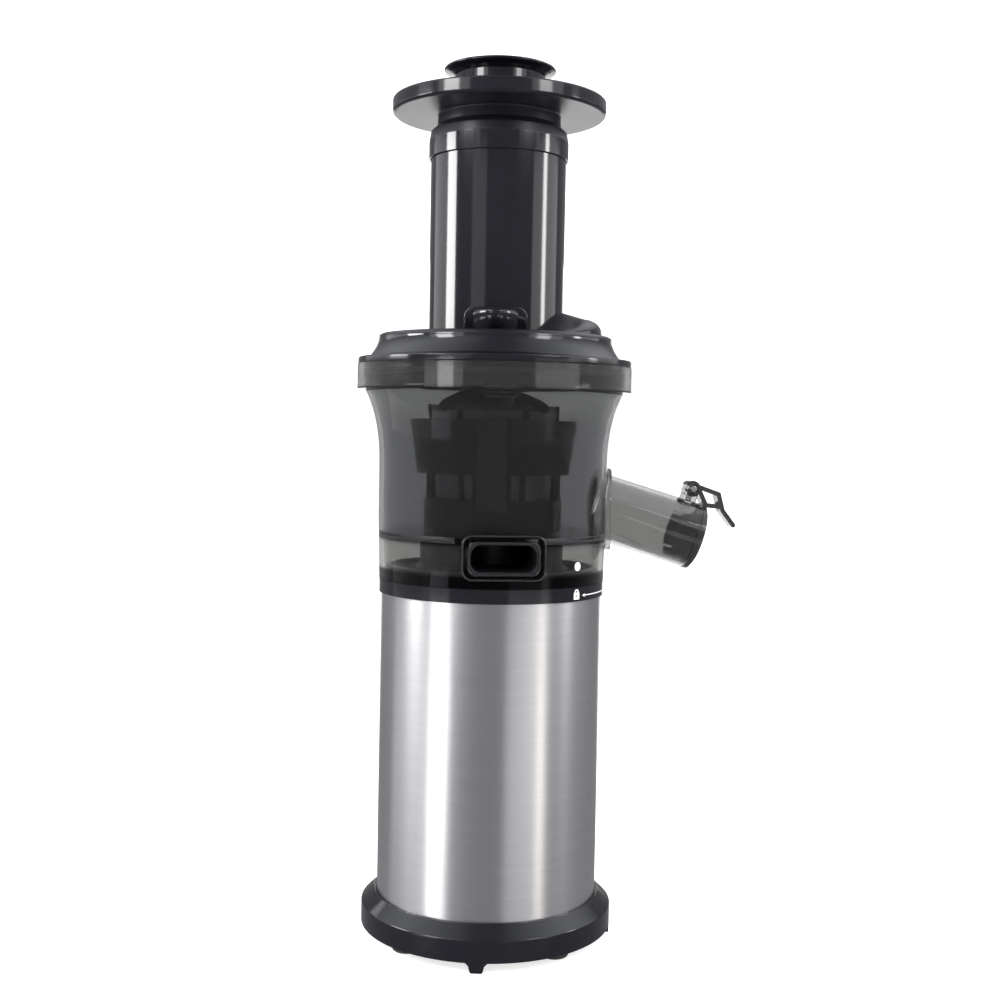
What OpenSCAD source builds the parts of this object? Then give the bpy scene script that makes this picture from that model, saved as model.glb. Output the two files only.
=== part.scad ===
// Vertical cold press juicer: motor base, juice bowl, lid with feed tube, tray and pusher.
// Origin: the point under the drive axis on the surface it stands on. +X is the juice spout's
// side, -Y the pulp outlet's side, +Z up. Millimetres.

/* [Foot ring] */
// How far the foot ring stands out from the steel sleeve
base_overhang = 8; // [5:0.5:13]
// Height of the rubber feet below the foot ring
foot_h = 5; // [4:0.5:8]
// Radius of a rubber foot
foot_r = 7.4; // [5:0.1:8]
// Distance from the drive axis to a rubber foot
foot_reach = 52; // [50:0.5:53]
// Height of the foot ring's upright side
base_side_h = 11; // [9:0.5:16]
// Height of the foot ring's sloping shoulder
base_shoulder_h = 6; // [4:0.5:10]
// Wall of the foot ring
base_wall = 2.6; // [2:0.1:3]
// Thickness of the motor floor in the foot ring
pan_floor_t = 3; // [2:0.1:4]
// Turn of the whole base under the bowl, in degrees
base_turn = -9; // [-20:1:20]
// Width of a moulded stub foot at its tip
stub_w = 6.6; // [5:0.1:9]
// Depth of a stub foot towards the axis
stub_t = 4.5; // [3:0.1:6]
// Thickness of the bottom cover
cover_t = 2.5; // [2:0.1:4]

/* [Motor body] */
// Outer radius of the steel sleeve
sleeve_r = 57; // [56.5:0.1:60]
// Sheet thickness of the steel sleeve
sleeve_t = 0.8; // [0.5:0.1:1.2]
// Visible height of the steel sleeve
sleeve_h = 155.5; // [150:0.5:175]
// Wall of the plastic body inside the sleeve
body_wall = 2.5; // [2:0.1:3]
// How far the deck ring stands out from the steel sleeve
ring_proud = 1.2; // [1:0.1:5]
// Height of the deck ring's outer band
ring_h = 7; // [6:0.5:12]
// Thickness of the deck
deck_t = 3; // [2.5:0.1:4]
// Height of the spigot that the bowl slips over
spigot_h = 7.5; // [5:0.5:9]
// Thickness of the spigot
spigot_t = 2.4; // [1.8:0.1:3]

/* [Motor and gearbox] */
// Radius of the motor can
motor_r = 31; // [29:0.5:33]
// Length of the motor can
motor_l = 84; // [74:1:88]
// Wall of the motor can
can_t = 2; // [1.5:0.1:2.5]
// Radius of the motor shaft
motor_shaft_r = 4; // [3:0.1:4.5]
// Radius of the wound rotor
rotor_r = 24; // [20:0.5:24.2]
// Radius of the commutator
commutator_r = 9.5; // [8:0.5:11]
// Module of the gearbox teeth
gear_m = 1.5; // [1.4:0.05:1.5]
// Width of the gearbox teeth
gear_w = 14; // [10:0.5:16]
// Radius of a planet pin
planet_pin_r = 3; // [2.5:0.1:4]
// Radius of the round part of the drive shaft
shaft_r = 7.5; // [7.1:0.1:8]
// Width across the flats of the hexagonal drive
hex_af = 12; // [10:0.1:12.2]
// Outer radius of the output bearing
bearing_r = 14; // [13:0.1:15]
// Width of the output bearing
bearing_w = 7; // [6:0.5:8]

/* [Switch and cord gland] */
// Width of the rocker switch's frame
switch_w = 20; // [18:0.5:24]
// Height of the rocker switch's frame
switch_h = 28; // [26:0.5:34]
// Height of the switch's centre above the surface
switch_z = 62; // [50:1:90]
// Radius of the cord gland
gland_r = 4.2; // [3.5:0.1:4.5]
// Length of the cord gland outside the foot ring
gland_l = 6; // [4:0.5:10]

/* [Juice bowl] */
// How far the bowl's skirt stands out from the deck ring
skirt_proud = 0.2; // [0.1:0.1:1.8]
// Outer radius of the bowl's waist
bowl_r = 59.2; // [59:0.1:61]
// Wall of the bowl
bowl_wall = 2.8; // [2.2:0.1:3]
// Height of the skirt below the juice floor
skirt_h = 21.2; // [20:0.2:26]
// Thickness of the juice floor
floor_t = 3; // [2.5:0.1:4]
// Depth of the bowl from the collar to the juice floor
bowl_depth = 71.5; // [70:0.5:80]
// Outer radius of the bowl where it meets the collar
flare_r = 67; // [66:0.1:68]
// Outer radius of the collar
collar_r = 71; // [70.5:0.1:74]
// Height of the collar
collar_h = 12.5; // [11.5:0.5:16]
// Wall of the collar
collar_wall = 3.5; // [3:0.1:4]
// Width of the pulp outlet's frame
outlet_w = 40.4; // [38:0.2:42]
// Height of the pulp outlet's frame
outlet_h = 21.8; // [21:0.2:22]
// How far the pulp outlet's frame stands out of the skirt
outlet_proud = 4; // [3:0.2:8]
// Wall of the pulp outlet's frame
outlet_wall = 2.5; // [2.2:0.1:3]
// How far the outlet's opening sits below the middle of its frame
outlet_drop = 0.4; // [0.2:0.1:0.6]
// Radius of the pulp chamber under the juice floor
chute_r = 36.8; // [34:0.2:40]
// Wall of the pulp chamber
chute_wall = 2.2; // [1.8:0.1:2.6]

/* [Juice spout and its cap] */
// Outer radius of the spout
spout_r = 17.3; // [16:0.1:18]
// Wall of the spout
spout_wall = 2; // [1.6:0.1:2.2]
// Length of the spout along its axis, from the bowl's waist
spout_l = 47.5; // [42:0.5:60]
// Slope of the spout, in degrees
spout_slope = 16.7; // [10:0.1:20]
// Height of the spout's axis above the juice floor, at the bowl's waist
spout_rise = 12.1; // [12:0.1:16]
// Thickness of the spout cap's disc
cap_t = 2.2; // [1.8:0.1:3]
// Depth of the cap's plug inside the spout
plug_l = 10; // [6:0.5:11]
// Radius of the cap's hinge pin
cap_pin_r = 1.5; // [1.2:0.1:2]
// Height of the hinge pin above the spout's axis
cap_pin_rise = 23.6; // [22.6:0.1:26]
// Distance of the hinge pin behind the spout's mouth
cap_pin_back = 7.1; // [6.5:0.1:8]
// Width of the thumb lever
lever_w = 9.4; // [8:0.2:12]
// Thickness of the thumb lever
lever_t = 2.4; // [2:0.1:3]

/* [Strainer, brush and auger] */
// Outer radius of the strainer's mesh at the bottom
mesh_r0 = 29; // [28:0.1:29.5]
// Outer radius of the strainer's mesh at the top
mesh_r1 = 32.6; // [31:0.1:33]
// Thickness of the strainer's mesh
mesh_t = 0.5; // [0.3:0.1:0.6]
// Height of the strainer's mesh
mesh_h = 51; // [46:0.5:53]
// Outer radius of the brush cage's lower band
cage_r0 = 35.7; // [35.2:0.1:37]
// Outer radius of the brush cage's bars
cage_r1 = 36.4; // [36:0.1:37.5]
// Outer radius of the upper band at its bottom
cage_r2 = 39.3; // [39:0.1:40]
// Outer radius of the upper band at its top
cage_r3 = 43.4; // [42:0.1:45]
// Height of the lower band
band_lower_h = 15.6; // [14.5:0.2:17]
// Height of the open windows between the bands
band_window_h = 13; // [10:0.5:14]
// Height of the upper band
band_upper_h = 27.5; // [24:0.5:28]
// Wall of the brush cage
cage_wall = 2; // [1.6:0.1:2.2]
// Radius of the auger's core at the bottom
auger_core_r0 = 15; // [13:0.2:15.4]
// Radius of the auger's core at the top
auger_core_r1 = 9; // [7:0.2:11]
// Radius of the auger's top pin
auger_pin_r = 3.5; // [3:0.1:4]
// Turns of the auger's flights
auger_turns = 1.3; // [1:0.1:1.5]
// Module of the brush drive's teeth
drive_m = 1.25; // [1.2:0.01:1.25]
// Width of the brush drive's teeth
drive_w = 5.5; // [4:0.5:6]

/* [Lid and feed tube] */
// How far the lid's flange stands in from the bowl's collar
flange_inset = 0.5; // [0.2:0.1:2]
// Height of the lid's flange
flange_h = 3.5; // [3:0.1:5]
// Radius of the lid's dome at its foot
dome_r0 = 65.2; // [64.5:0.1:66]
// Radius of the lid's dome at its top edge
dome_r1 = 60; // [59:0.1:61.5]
// Height of the lid's dome
dome_h = 12; // [10:0.5:16]
// Wall of the lid
lid_wall = 2.6; // [2.2:0.1:3.2]
// Outer radius of the feed tube
tube_r = 34.5; // [33.9:0.1:35]
// Wall of the feed tube
tube_wall = 2.8; // [2.2:0.1:3.2]
// Height of the feed tube from the lid's top to the tray's collar
tube_h = 89.2; // [70:1:130]
// Width of the boss at the front of the tube
boss_w = 29.6; // [26:0.2:32]
// Height of the boss at the front of the tube
boss_h = 12; // [10:0.5:16]
// Height of the raised ledge beside the tube
ledge_h = 12.5; // [8:0.5:14]
// Outer radius of the raised ledge
ledge_r = 55; // [50:0.5:57]
// Turn of the lid's front on the bowl, in degrees
lid_turn = -5.7; // [-10:0.1:10]

/* [Tray and pusher] */
// Radius of the tray
tray_r = 54.4; // [50:0.2:60]
// Height of the tray's rim
tray_h = 7.6; // [7.5:0.1:12]
// Height of the tray's collar round the tube
tray_collar_h = 9; // [8:0.5:14]
// Height of the tray's sloping shoulder
tray_shoulder_h = 6; // [4:0.5:8]
// Height of the tray's neck below the dish
tray_neck_h = 7.4; // [6:0.2:10]
// Outer radius of the tray's neck below the dish
tray_neck_r = 31.2; // [31:0.1:33]
// Wall of the tray
tray_wall = 2.2; // [1.8:0.1:2.4]
// Radius of the pusher
pusher_r = 28; // [27:0.1:28.3]
// Wall of the pusher
pusher_wall = 2.2; // [1.8:0.1:3]
// Radius of the pusher's neck
neck_r = 23; // [21:0.2:25]
// Radius of the pusher cap's lip
lip_r = 28.6; // [27:0.1:28.7]
// Height of the pusher's neck above the tray
neck_h = 12.3; // [10:0.1:15]
// Height of the pusher cap's flared lip
lip_h = 4.7; // [4.5:0.1:7]

/* [Hidden] */
$fn = 96;

// Clearances: a running fit, a fixed seat, a loose seat between moving parts, and a cut's overrun
fit = 0.05;
seat = 0.1;
loose = 0.3;
over = 1;

// Colours
black = [0.05, 0.05, 0.06];
smoke = [0.30, 0.31, 0.31, 0.5];
clear = [0.62, 0.64, 0.62, 0.45];
steel = [0.72, 0.72, 0.73];
zinc = [0.60, 0.61, 0.63];
copper = [0.72, 0.45, 0.25];
rubber = [0.10, 0.10, 0.10];
silicone = [0.25, 0.25, 0.26];
resin = [0.86, 0.84, 0.78];
board = [0.10, 0.35, 0.20];
bronze = [0.65, 0.50, 0.28];

// Levels of the base, from the surface up
pan_z = foot_h;
side_z = pan_z + base_side_h;
shoulder_z = side_z + base_shoulder_h;
base_r = sleeve_r + base_overhang;
ring_r = sleeve_r + ring_proud;
skirt_r = ring_r + skirt_proud;
sleeve_seat = 3.5;
seat_z = shoulder_z - sleeve_seat;
ring_z = shoulder_z + sleeve_h;
ring_lap = 2;
deck_z = ring_z + ring_h;
deck_low_z = deck_z - deck_t;
cover_z = pan_z + 5 * seat;
cover_top_z = cover_z + cover_t;
pan_under_z = seat_z - pan_floor_t;

// Levels of the bowl, lid, tray and pusher
bowl_z = deck_z + loose;
floor_low_z = bowl_z + skirt_h;
floor_z = floor_low_z + floor_t;
collar_z = floor_z + bowl_depth;
rim_z = collar_z + collar_h;
flange_z = rim_z + loose;
dome_z = flange_z + flange_h;
lid_z = dome_z + dome_h;
tray_collar_z = lid_z + tube_h;
tray_shoulder_z = tray_collar_z + tray_collar_h;
tray_neck_z = tray_shoulder_z + tray_shoulder_h;
tray_z = tray_neck_z + tray_neck_h;
tray_rim_z = tray_z + tray_h;
tray_floor_t = 2.8;
lip_z = tray_rim_z + neck_h;
top_z = lip_z + lip_h;

// Radii inside the base
body_r = sleeve_r - sleeve_t - seat;
body_in_r = body_r - body_wall;
spigot_r = skirt_r - bowl_wall - loose - 0.7;
spigot_lug = 0.6;

// Screws
screw_r = 1.5;
screw_head_r = 3;
screw_head_h = 1.6;
screw_boss_r = 4.2;
cover_screw_reach = 45;
deck_screw_reach = body_in_r - screw_boss_r - over;
screw_l = 9;
deck_screw_l = 12;

// Gear train of the gearbox: fixed ring, three planets, sun on the motor shaft
sun_n = 12;
planet_n = 18;
ring_n = sun_n + 2 * planet_n;
planet_count = 3;
planet_reach = gear_m * (sun_n + planet_n) / 2;
tip_share = 0.8;
root_share = 1.15;
pressure = 20;
backlash = 0.3;
flank_steps = 5;
ring_root_r = gear_m * ring_n / 2 + root_share * gear_m;
gearbox_wall = 5;
gearbox_r = ring_root_r + gearbox_wall;
gearbox_flange_r = gearbox_r + 7;
gearbox_flange_t = 4;
gearbox_floor_t = 4;
gearbox_cover_t = 3;
damper_t = 2;
shelf_t = 3;
gearbox_screw_reach = gearbox_r + 3.7;
gearbox_boss_r = 3.3;
gearbox_screw_l = 16;

// Levels of the drive, from the deck down
shaft_stub_h = 4.5;
shaft_top_z = deck_z + shaft_stub_h;
hex_h = 33;
hex_top_z = shaft_top_z + hex_h;
gearbox_drop = 29.5;
gearbox_top_z = deck_low_z - gearbox_drop;
carrier_t = 4;
carrier_room = 3;
carrier_z = gearbox_top_z - carrier_t - carrier_room;
carrier_r = planet_reach + planet_pin_r + carrier_room;
gear_z = carrier_z - over - gear_w;
gearbox_z = gear_z - carrier_room - gearbox_floor_t;
bearing_z = gearbox_top_z + gearbox_cover_t + over;
bearing_seat_r = bearing_r + 3;
motor_top_z = gearbox_z;
motor_z = motor_top_z - motor_l;
end_cap_h = 8;
end_cap_z = motor_z - end_cap_h;
pilot_r = 11;
pilot_h = 3.5;
small_bearing_r = 9;
small_bearing_w = 6;
magnet_t = 4;
rotor_z = motor_z + 24;
rotor_l = 44;
commutator_z = motor_z + 4;
commutator_l = 14;
brush_w = 6;
brush_h = 9;
shelf_top_z = gearbox_top_z - gearbox_flange_t - damper_t;

// Deck hub and shaft seal
hub_r = 16.5;
hub_h = 3.6;
seal_r = 12;
seal_lip = 1;

// Switch, board and gland
switch_frame_t = 2.5;
switch_proud = 1.6;
switch_depth = 17;
switch_y = sleeve_r + switch_proud;
rocker_w = switch_w - 2 * switch_frame_t;
rocker_h = switch_h - 2 * switch_frame_t;
rocker_pin_r = 1.5;
rocker_pivot_y = switch_y - 4.5;
rocker_r = 17;
board_w = 34;
board_h = 30;
board_t = 1.6;
board_y = 45;
board_z = switch_z + switch_h / 2 + 6;
rail_w = 4;
rail_t = 3;
gland_z = pan_z + base_side_h / 2;
gland_flange = 1.5;

// Outline of the bowl: a nearly straight waist that flares into the collar
flare_steps = 10;
flare_share = 0.42;
flare_power = 2.7;
waist_z = collar_z - bowl_depth * (1 - flare_share);
function flare(z) = bowl_r + (flare_r - bowl_r)
  * pow(max(0, (z - waist_z) / (collar_z - waist_z)), flare_power);
collar_in_r = collar_r - collar_wall;
outlet_mid_z = bowl_z + 4.4 + outlet_h / 2;
outlet_corner = 5;
outlet_y = skirt_r + outlet_proud;
chute_z = bowl_z + 5.7;
chute_floor_t = 2.5;
chute_tube_r = 16.6;
chute_flare = 2.6;
tunnel_w = outlet_w - 2 * outlet_wall - 4 * seat;
tunnel_h = outlet_h - 2 * outlet_wall - 4 * seat;
tunnel_wall = 1.6;
neck_hole_r = 12;
gasket_flange_r = 14;
gasket_flange_t = 1.4;

// Brush drive: gear on the auger, idler on the bowl floor, ring gear in the brush cage
auger_n = 18;
idler_n = 14;
brush_n = auger_n + 2 * idler_n;
idler_reach = drive_m * (auger_n + idler_n) / 2;
idler_angle = 90;
drive_z = floor_z + 2.2;
drive_top_z = drive_z + drive_w;
idler_pin_r = 2.5;
idler_boss_r = 4.6;
idler_boss_h = 1.6;
idler_pin_sink = 2;
brush_root_r = drive_m * brush_n / 2 + root_share * drive_m;
cage_z = floor_z + 1;

// Pulp slot from the strainer down through the juice floor
slot_r0 = 16.4;
slot_r1 = 25;
slot_half = 42;
slot_wall = 1.7;
strainer_z = drive_top_z + 3.4;
strainer_floor_t = 2.5;
mesh_z = strainer_z + strainer_floor_t;
mesh_top_z = mesh_z + mesh_h;
strainer_rim_h = 3;
rib_w = 2.4;
rib_t = 1.4;
rib_count = 6;
scallop_count = 3;
scallop_r = 26;
scallop_drop = 4.6;
cage_bar_count = 3;
cage_bar_angle = 30;
cage_bar_start = 23.5;
band_z = cage_z + band_lower_h;
upper_z = band_z + band_window_h;
cage_top = upper_z + band_upper_h;
blade_t = 1.6;
blade_low_z = mesh_z + over;
blade_high_z = cage_top - 2 * over;
strip_w = 14;
strip_t = 1;
strip_z = blade_low_z - 3 * over;
function mesh_r(z) = mesh_r0 + (mesh_r1 - mesh_r0) * (z - mesh_z) / mesh_h;

// Auger
auger_neck_r = 9.2;
auger_z = floor_low_z - 9.5;
auger_waist_r = 12;
auger_body_z = mesh_z + 2 * loose;
auger_top_z = lid_z - 18.5;
auger_pin_h = 12;
flight_r0 = mesh_r0 - mesh_t - rib_t - 2 * loose;
flight_r1_share = 1.1;
flight_t = 3.4;
flight_count = 2;
flight_slices = 40;

// Spout and cap, in the spout's own frame: x along its axis, z across it
spout_x = bowl_r;
spout_z = floor_z + spout_rise;
spout_flange = 3.2;
spout_flange_t = 2.2;
ear_t = 2;
ear_r = 3;
ear_gap = 0.3;
knuckle_r = 4.2;
cap_r = spout_r + 0.3;
plug_r = spout_r - spout_wall - 1.3;
plug_wall = 1.6;
seal_t = 1.4;
seal_r0 = plug_r + 3 * seat;
seal_r1 = spout_r - 3 * seat;
swing_r = 13.6;
swing_half = 10.2;
plug_slots = 4;
lever_reach = 15.6;
lever_drop = 12.2;
lever_rise = 3.4;
cap_pin_x = spout_l - cap_pin_back;
tab_t = 3;

// Lid
flange_r = collar_r - flange_inset;
skirt_in_z = collar_z + 2;
lid_skirt_r = collar_in_r - 3 * loose;
lid_skirt_t = 2.2;
window_h = 5;
window_angle = 12;
window_places = [216.5, 308.5, 325, 88, 128, 36, 160];
groove_t = 1.4;
gasket_t = collar_in_r - loose - (lid_skirt_r - groove_t + seat);
gasket_h = 2.4;
gasket_z = rim_z - 5;
dome_steps = 8;
dome_power = 0.5;
tube_in_r = tube_r - tube_wall;
tube_top_z = tray_shoulder_z - 1.5;
bridge_w = 9;
bridge_t = 6;
bush_r = 6;
bush_boss_r = 8.5;
bush_h = 8;
bush_z = lid_z - 11;
boss_t = 9;
boss_inner_w = 24;
boss_inner_t = 13;
boss_corner = 3.2;
ledge_full = -18;
ledge_to = 96;
ledge_run = 32;

// Tray and pusher
throat_r = tray_neck_r - 2;
tray_edge = 1.2;
pusher_z = lid_z + 2 * loose;
pusher_shoulder_z = tray_rim_z - 4;
pusher_shoulder_h = 3;
cap_top_t = 2.4;
cap_plug_h = 5;

// Involute gear outlines

function inv(a) = tan(a) - a * PI / 180;
function flank_angle(r, base) = r > base ? acos(base / r) : 0;
// Half a tooth's angle at radius r; slack widens or narrows the tooth, in millimetres at the pitch
function half_tooth(r, n, m, slack) = 90 / n
  + (slack / 2 / (m * n / 2) + inv(pressure) - inv(flank_angle(r, m * n / 2 * cos(pressure))))
  * 180 / PI;
function gear_points(n, m, low, high, slack) = [
  for (i = [0:n - 1])
    for (side = [-1, 1])
      for (k = [0:flank_steps])
        let (
          share = side < 0 ? k / flank_steps : 1 - k / flank_steps,
          r = low + (high - low) * share,
          a = 360 * i / n + side * half_tooth(r, n, m, slack)
        )
        r * [cos(a), sin(a)]
];

module outer_gear(n, m, w) {
  linear_extrude(height = w)
    polygon(gear_points(n, m, m * n / 2 - root_share * m, m * n / 2 + tip_share * m, -backlash / 2));
}

// The space inside a ring gear
module ring_gear_space(n, m, w) {
  linear_extrude(height = w)
    polygon(gear_points(n, m, m * n / 2 - tip_share * m, m * n / 2 + root_share * m, backlash / 2));
}

// Repeated shapes

module ring(r_out, r_in, h) {
  difference() {
    cylinder(r = r_out, h = h);
    translate([0, 0, -over]) cylinder(r = r_in, h = h + 2 * over);
  }
}

module around(count, reach, start = 0) {
  for (i = [0:count - 1])
    rotate([0, 0, start + 360 * i / count]) translate([reach, 0, 0]) children();
}

// A ring sector from radius r0 to r1 between two angles
module sector(r0, r1, h, from, to) {
  rotate([0, 0, from]) rotate_extrude(angle = to - from)
    translate([r0, 0]) square([r1 - r0, h]);
}

// A screw with its head at the origin, pointing up
module screw(l) {
  cylinder(r = screw_head_r, h = screw_head_h);
  translate([0, 0, screw_head_h]) cylinder(r = screw_r, h = l);
}

module rounded_plate(w, h, corner, t) {
  linear_extrude(height = t) hull()
    for (x = [-1, 1], y = [-1, 1])
      translate([x * (w / 2 - corner), y * (h / 2 - corner)]) circle(r = corner, $fn = 32);
}

// Motor base

// Half outline of a stub foot: its tip, its side and the fillet at its root
module stub_foot() {
  tip = stub_w / 2;
  translate([base_r - stub_t, 0, 0]) rotate([90, 0, 90]) linear_extrude(height = stub_t)
    polygon([
      [-tip * 0.8, 0], [tip * 0.8, 0], [tip, foot_h * 0.16], [tip * 1.2, foot_h * 0.7],
      [tip * 1.75, foot_h], [tip * 1.75, foot_h + base_wall], [-tip * 1.75, foot_h + base_wall],
      [-tip * 1.75, foot_h], [-tip * 1.2, foot_h * 0.7], [-tip, foot_h * 0.16]
    ]);
}

module base_pan() {
  rotate([0, 0, base_turn]) color(black) difference() {
    union() {
      rotate_extrude() polygon([
        [base_r, pan_z], [base_r, side_z], [sleeve_r + 15 * seat, shoulder_z],
        [sleeve_r + seat, shoulder_z], [sleeve_r + seat, seat_z], [motor_r / 2, seat_z],
        [motor_r / 2, pan_under_z], [base_r - base_wall, pan_under_z], [base_r - base_wall, pan_z]
      ]);
      around(4, cover_screw_reach) translate([0, 0, cover_top_z])
        cylinder(r = screw_boss_r, h = pan_under_z - cover_top_z + over);
      intersection() {
        around(4, 0) stub_foot();
        cylinder(r = base_r, h = side_z);
      }
    }
    around(4, cover_screw_reach) translate([0, 0, cover_top_z - over])
      cylinder(r = screw_r + fit, h = screw_l);
    translate([0, base_r - base_wall - over, gland_z]) rotate([-90, 0, 0])
      cylinder(r = gland_r + seat, h = base_wall + 2 * over);
    translate([0, base_r - base_wall - gland_flange - 2 * seat, gland_z]) rotate([-90, 0, 0])
      cylinder(r = gland_r + gland_flange / 2 + seat, h = gland_flange + seat);
  }
}

module bottom_cover() {
  slot_l = cover_screw_reach * 0.5;
  slot_w = cover_t;
  rotate([0, 0, base_turn]) color(black) difference() {
    translate([0, 0, cover_z]) cylinder(r = base_r - base_wall - 3 * seat - stub_t, h = cover_t);
    around(4, cover_screw_reach) {
      translate([0, 0, cover_z - over]) cylinder(r = screw_head_r + seat, h = screw_head_h + over + seat);
      translate([0, 0, cover_z - over]) cylinder(r = screw_r + seat, h = cover_t + 2 * over);
    }
    around(4, foot_reach, 45) translate([0, 0, cover_z - over])
      cylinder(r = foot_stem_r + seat, h = cover_t + 2 * over);
    for (i = [-3:3])
      translate([-slot_l / 2, 3 * i * slot_w - slot_w / 2, cover_z - over])
        cube([slot_l, slot_w, cover_t + 2 * over]);
  }
}

module cover_screws() {
  rotate([0, 0, base_turn]) color(zinc) around(4, cover_screw_reach)
    translate([0, 0, cover_z + seat]) screw(screw_l - screw_head_h);
}

foot_stem_r = 3;
foot_button_h = 1.8;
foot_edge = 0.8;

module rubber_feet() {
  rotate([0, 0, base_turn]) color(rubber) around(4, foot_reach, 45) rotate_extrude() polygon([
    [0, 0], [foot_r - foot_edge, 0], [foot_r, foot_edge], [foot_r, cover_z - seat],
    [foot_stem_r, cover_z - seat], [foot_stem_r, cover_top_z + seat],
    [foot_stem_r + foot_edge, cover_top_z + seat],
    [foot_stem_r, cover_top_z + foot_button_h], [0, cover_top_z + foot_button_h]
  ]);
}

module inner_body() {
  board_in = board_y + board_t + seat;
  rotate([0, 0, base_turn]) color(black) difference() {
    union() {
      translate([0, 0, seat_z]) ring(body_r, body_in_r, deck_low_z - seat_z);
      translate([0, 0, shelf_top_z - shelf_t]) ring(body_r, gearbox_r + 2 * loose, shelf_t);
      around(4, gearbox_screw_reach, 45)
        translate([0, 0, shelf_top_z - gearbox_screw_l])
          cylinder(r = gearbox_boss_r, h = gearbox_screw_l);
      intersection() {
        around(4, deck_screw_reach, 45)
          translate([0, 0, deck_low_z - deck_screw_l - 2 * over]) {
            cylinder(r = screw_boss_r, h = deck_screw_l + 2 * over);
            translate([0, -screw_boss_r / 2, 0])
              cube([body_r - deck_screw_reach, screw_boss_r, deck_screw_l + 2 * over]);
          }
        cylinder(r = body_r - seat, h = deck_low_z);
      }
      intersection() {
        for (x = [-1, 1])
          translate([x * board_w / 2 - rail_w / 2, board_y - rail_t, board_z])
            cube([rail_w, body_r - board_y + rail_t, board_h]);
        cylinder(r = body_r - seat, h = deck_low_z);
      }
    }
    around(4, gearbox_screw_reach, 45) translate([0, 0, shelf_top_z - gearbox_screw_l + over])
      cylinder(r = screw_r + fit, h = gearbox_screw_l);
    around(4, deck_screw_reach, 45) translate([0, 0, deck_low_z - deck_screw_l])
      cylinder(r = screw_r + fit, h = deck_screw_l + over);
    translate([-board_w / 2 - seat, board_y - seat, board_z - over])
      cube([board_w + 2 * seat, board_t + 2 * seat, board_h + over - rail_t]);
    switch_hole();
  }
}

// The rectangular hole for the switch in the sleeve and in the body behind it
module switch_hole() {
  translate([-switch_w / 2 - seat, board_y, switch_z - switch_h / 2 - seat])
    cube([switch_w + 2 * seat, base_r - board_y, switch_h + 2 * seat]);
}

module steel_sleeve() {
  rotate([0, 0, base_turn]) color(steel) difference() {
    translate([0, 0, seat_z]) ring(sleeve_r, sleeve_r - sleeve_t, ring_z + ring_lap - seat_z);
    switch_hole();
  }
}

module top_ring() {
  lug_h = spigot_h * 0.4;
  rotate([0, 0, base_turn]) color(black) difference() {
    union() {
      rotate_extrude() polygon([
        [ring_r, ring_z], [ring_r, deck_z], [spigot_r, deck_z], [spigot_r, deck_z + spigot_h],
        [spigot_r - spigot_t, deck_z + spigot_h], [spigot_r - spigot_t, deck_z],
        [hub_r, deck_z], [hub_r, deck_z + hub_h], [seal_r + seat, deck_z + hub_h],
        [seal_r + seat, deck_low_z + seal_lip], [shaft_r + seal_lip, deck_low_z + seal_lip],
        [shaft_r + seal_lip, deck_low_z], [body_in_r - seat - body_wall, deck_low_z],
        [body_in_r - seat - body_wall, ring_z], [body_in_r - seat, ring_z],
        [body_in_r - seat, deck_low_z], [body_r + seat, deck_low_z],
        [body_r + seat, ring_z + ring_lap + seat], [sleeve_r + seat, ring_z + ring_lap + seat],
        [sleeve_r + seat, ring_z]
      ]);
      for (a = [30, 150, 270])
        translate([0, 0, deck_z + spigot_h - lug_h])
          sector(spigot_r - over, spigot_r + spigot_lug, lug_h, a - 12, a + 12);
    }
    around(4, deck_screw_reach, 45) {
      translate([0, 0, ring_z - over]) cylinder(r = screw_boss_r + 4 * seat, h = deck_low_z - ring_z + over);
      translate([0, 0, ring_z]) cylinder(r = screw_r + seat, h = ring_h + over);
      translate([0, 0, deck_z - screw_head_h - seat])
        cylinder(r = screw_head_r + seat, h = screw_head_h + over);
      translate([0, -screw_boss_r / 2 - 4 * seat, ring_z - over])
        cube([body_r - deck_screw_reach, screw_boss_r + 8 * seat, deck_low_z - ring_z + over]);
    }
  }
}

module deck_screws() {
  rotate([0, 0, base_turn]) color(zinc) around(4, deck_screw_reach, 45)
    translate([0, 0, deck_z - seat]) mirror([0, 0, 1]) screw(deck_screw_l);
}

// Motor

module motor_can() {
  color(zinc) difference() {
    union() {
      translate([0, 0, motor_z]) cylinder(r = motor_r, h = motor_l);
      translate([0, 0, motor_top_z - over]) cylinder(r = pilot_r, h = pilot_h + over);
    }
    translate([0, 0, motor_z - over]) cylinder(r = motor_r - can_t, h = motor_l - can_t + over);
    translate([0, 0, motor_top_z + pilot_h - can_t - small_bearing_w])
      cylinder(r = small_bearing_r + seat, h = small_bearing_w);
    translate([0, 0, motor_z]) cylinder(r = motor_shaft_r + loose, h = motor_l + 2 * pilot_h);
    for (a = [0:60:300])
      rotate([0, 0, a]) translate([motor_r - can_t - over, -brush_w / 2, motor_z + brush_h])
        cube([can_t + 2 * over, brush_w, brush_h]);
  }
}

// The seat of the upper bearing hangs from the can's top plate
module bearing_race(r_out, r_in, w) {
  ring(r_out, r_out - (r_out - r_in) * 0.32, w);
  ring(r_in + (r_out - r_in) * 0.32, r_in, w);
  ball_r = (r_out - r_in) * 0.17;
  around(9, (r_out + r_in) / 2) translate([0, 0, w / 2]) sphere(r = ball_r, $fn = 24);
}

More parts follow.
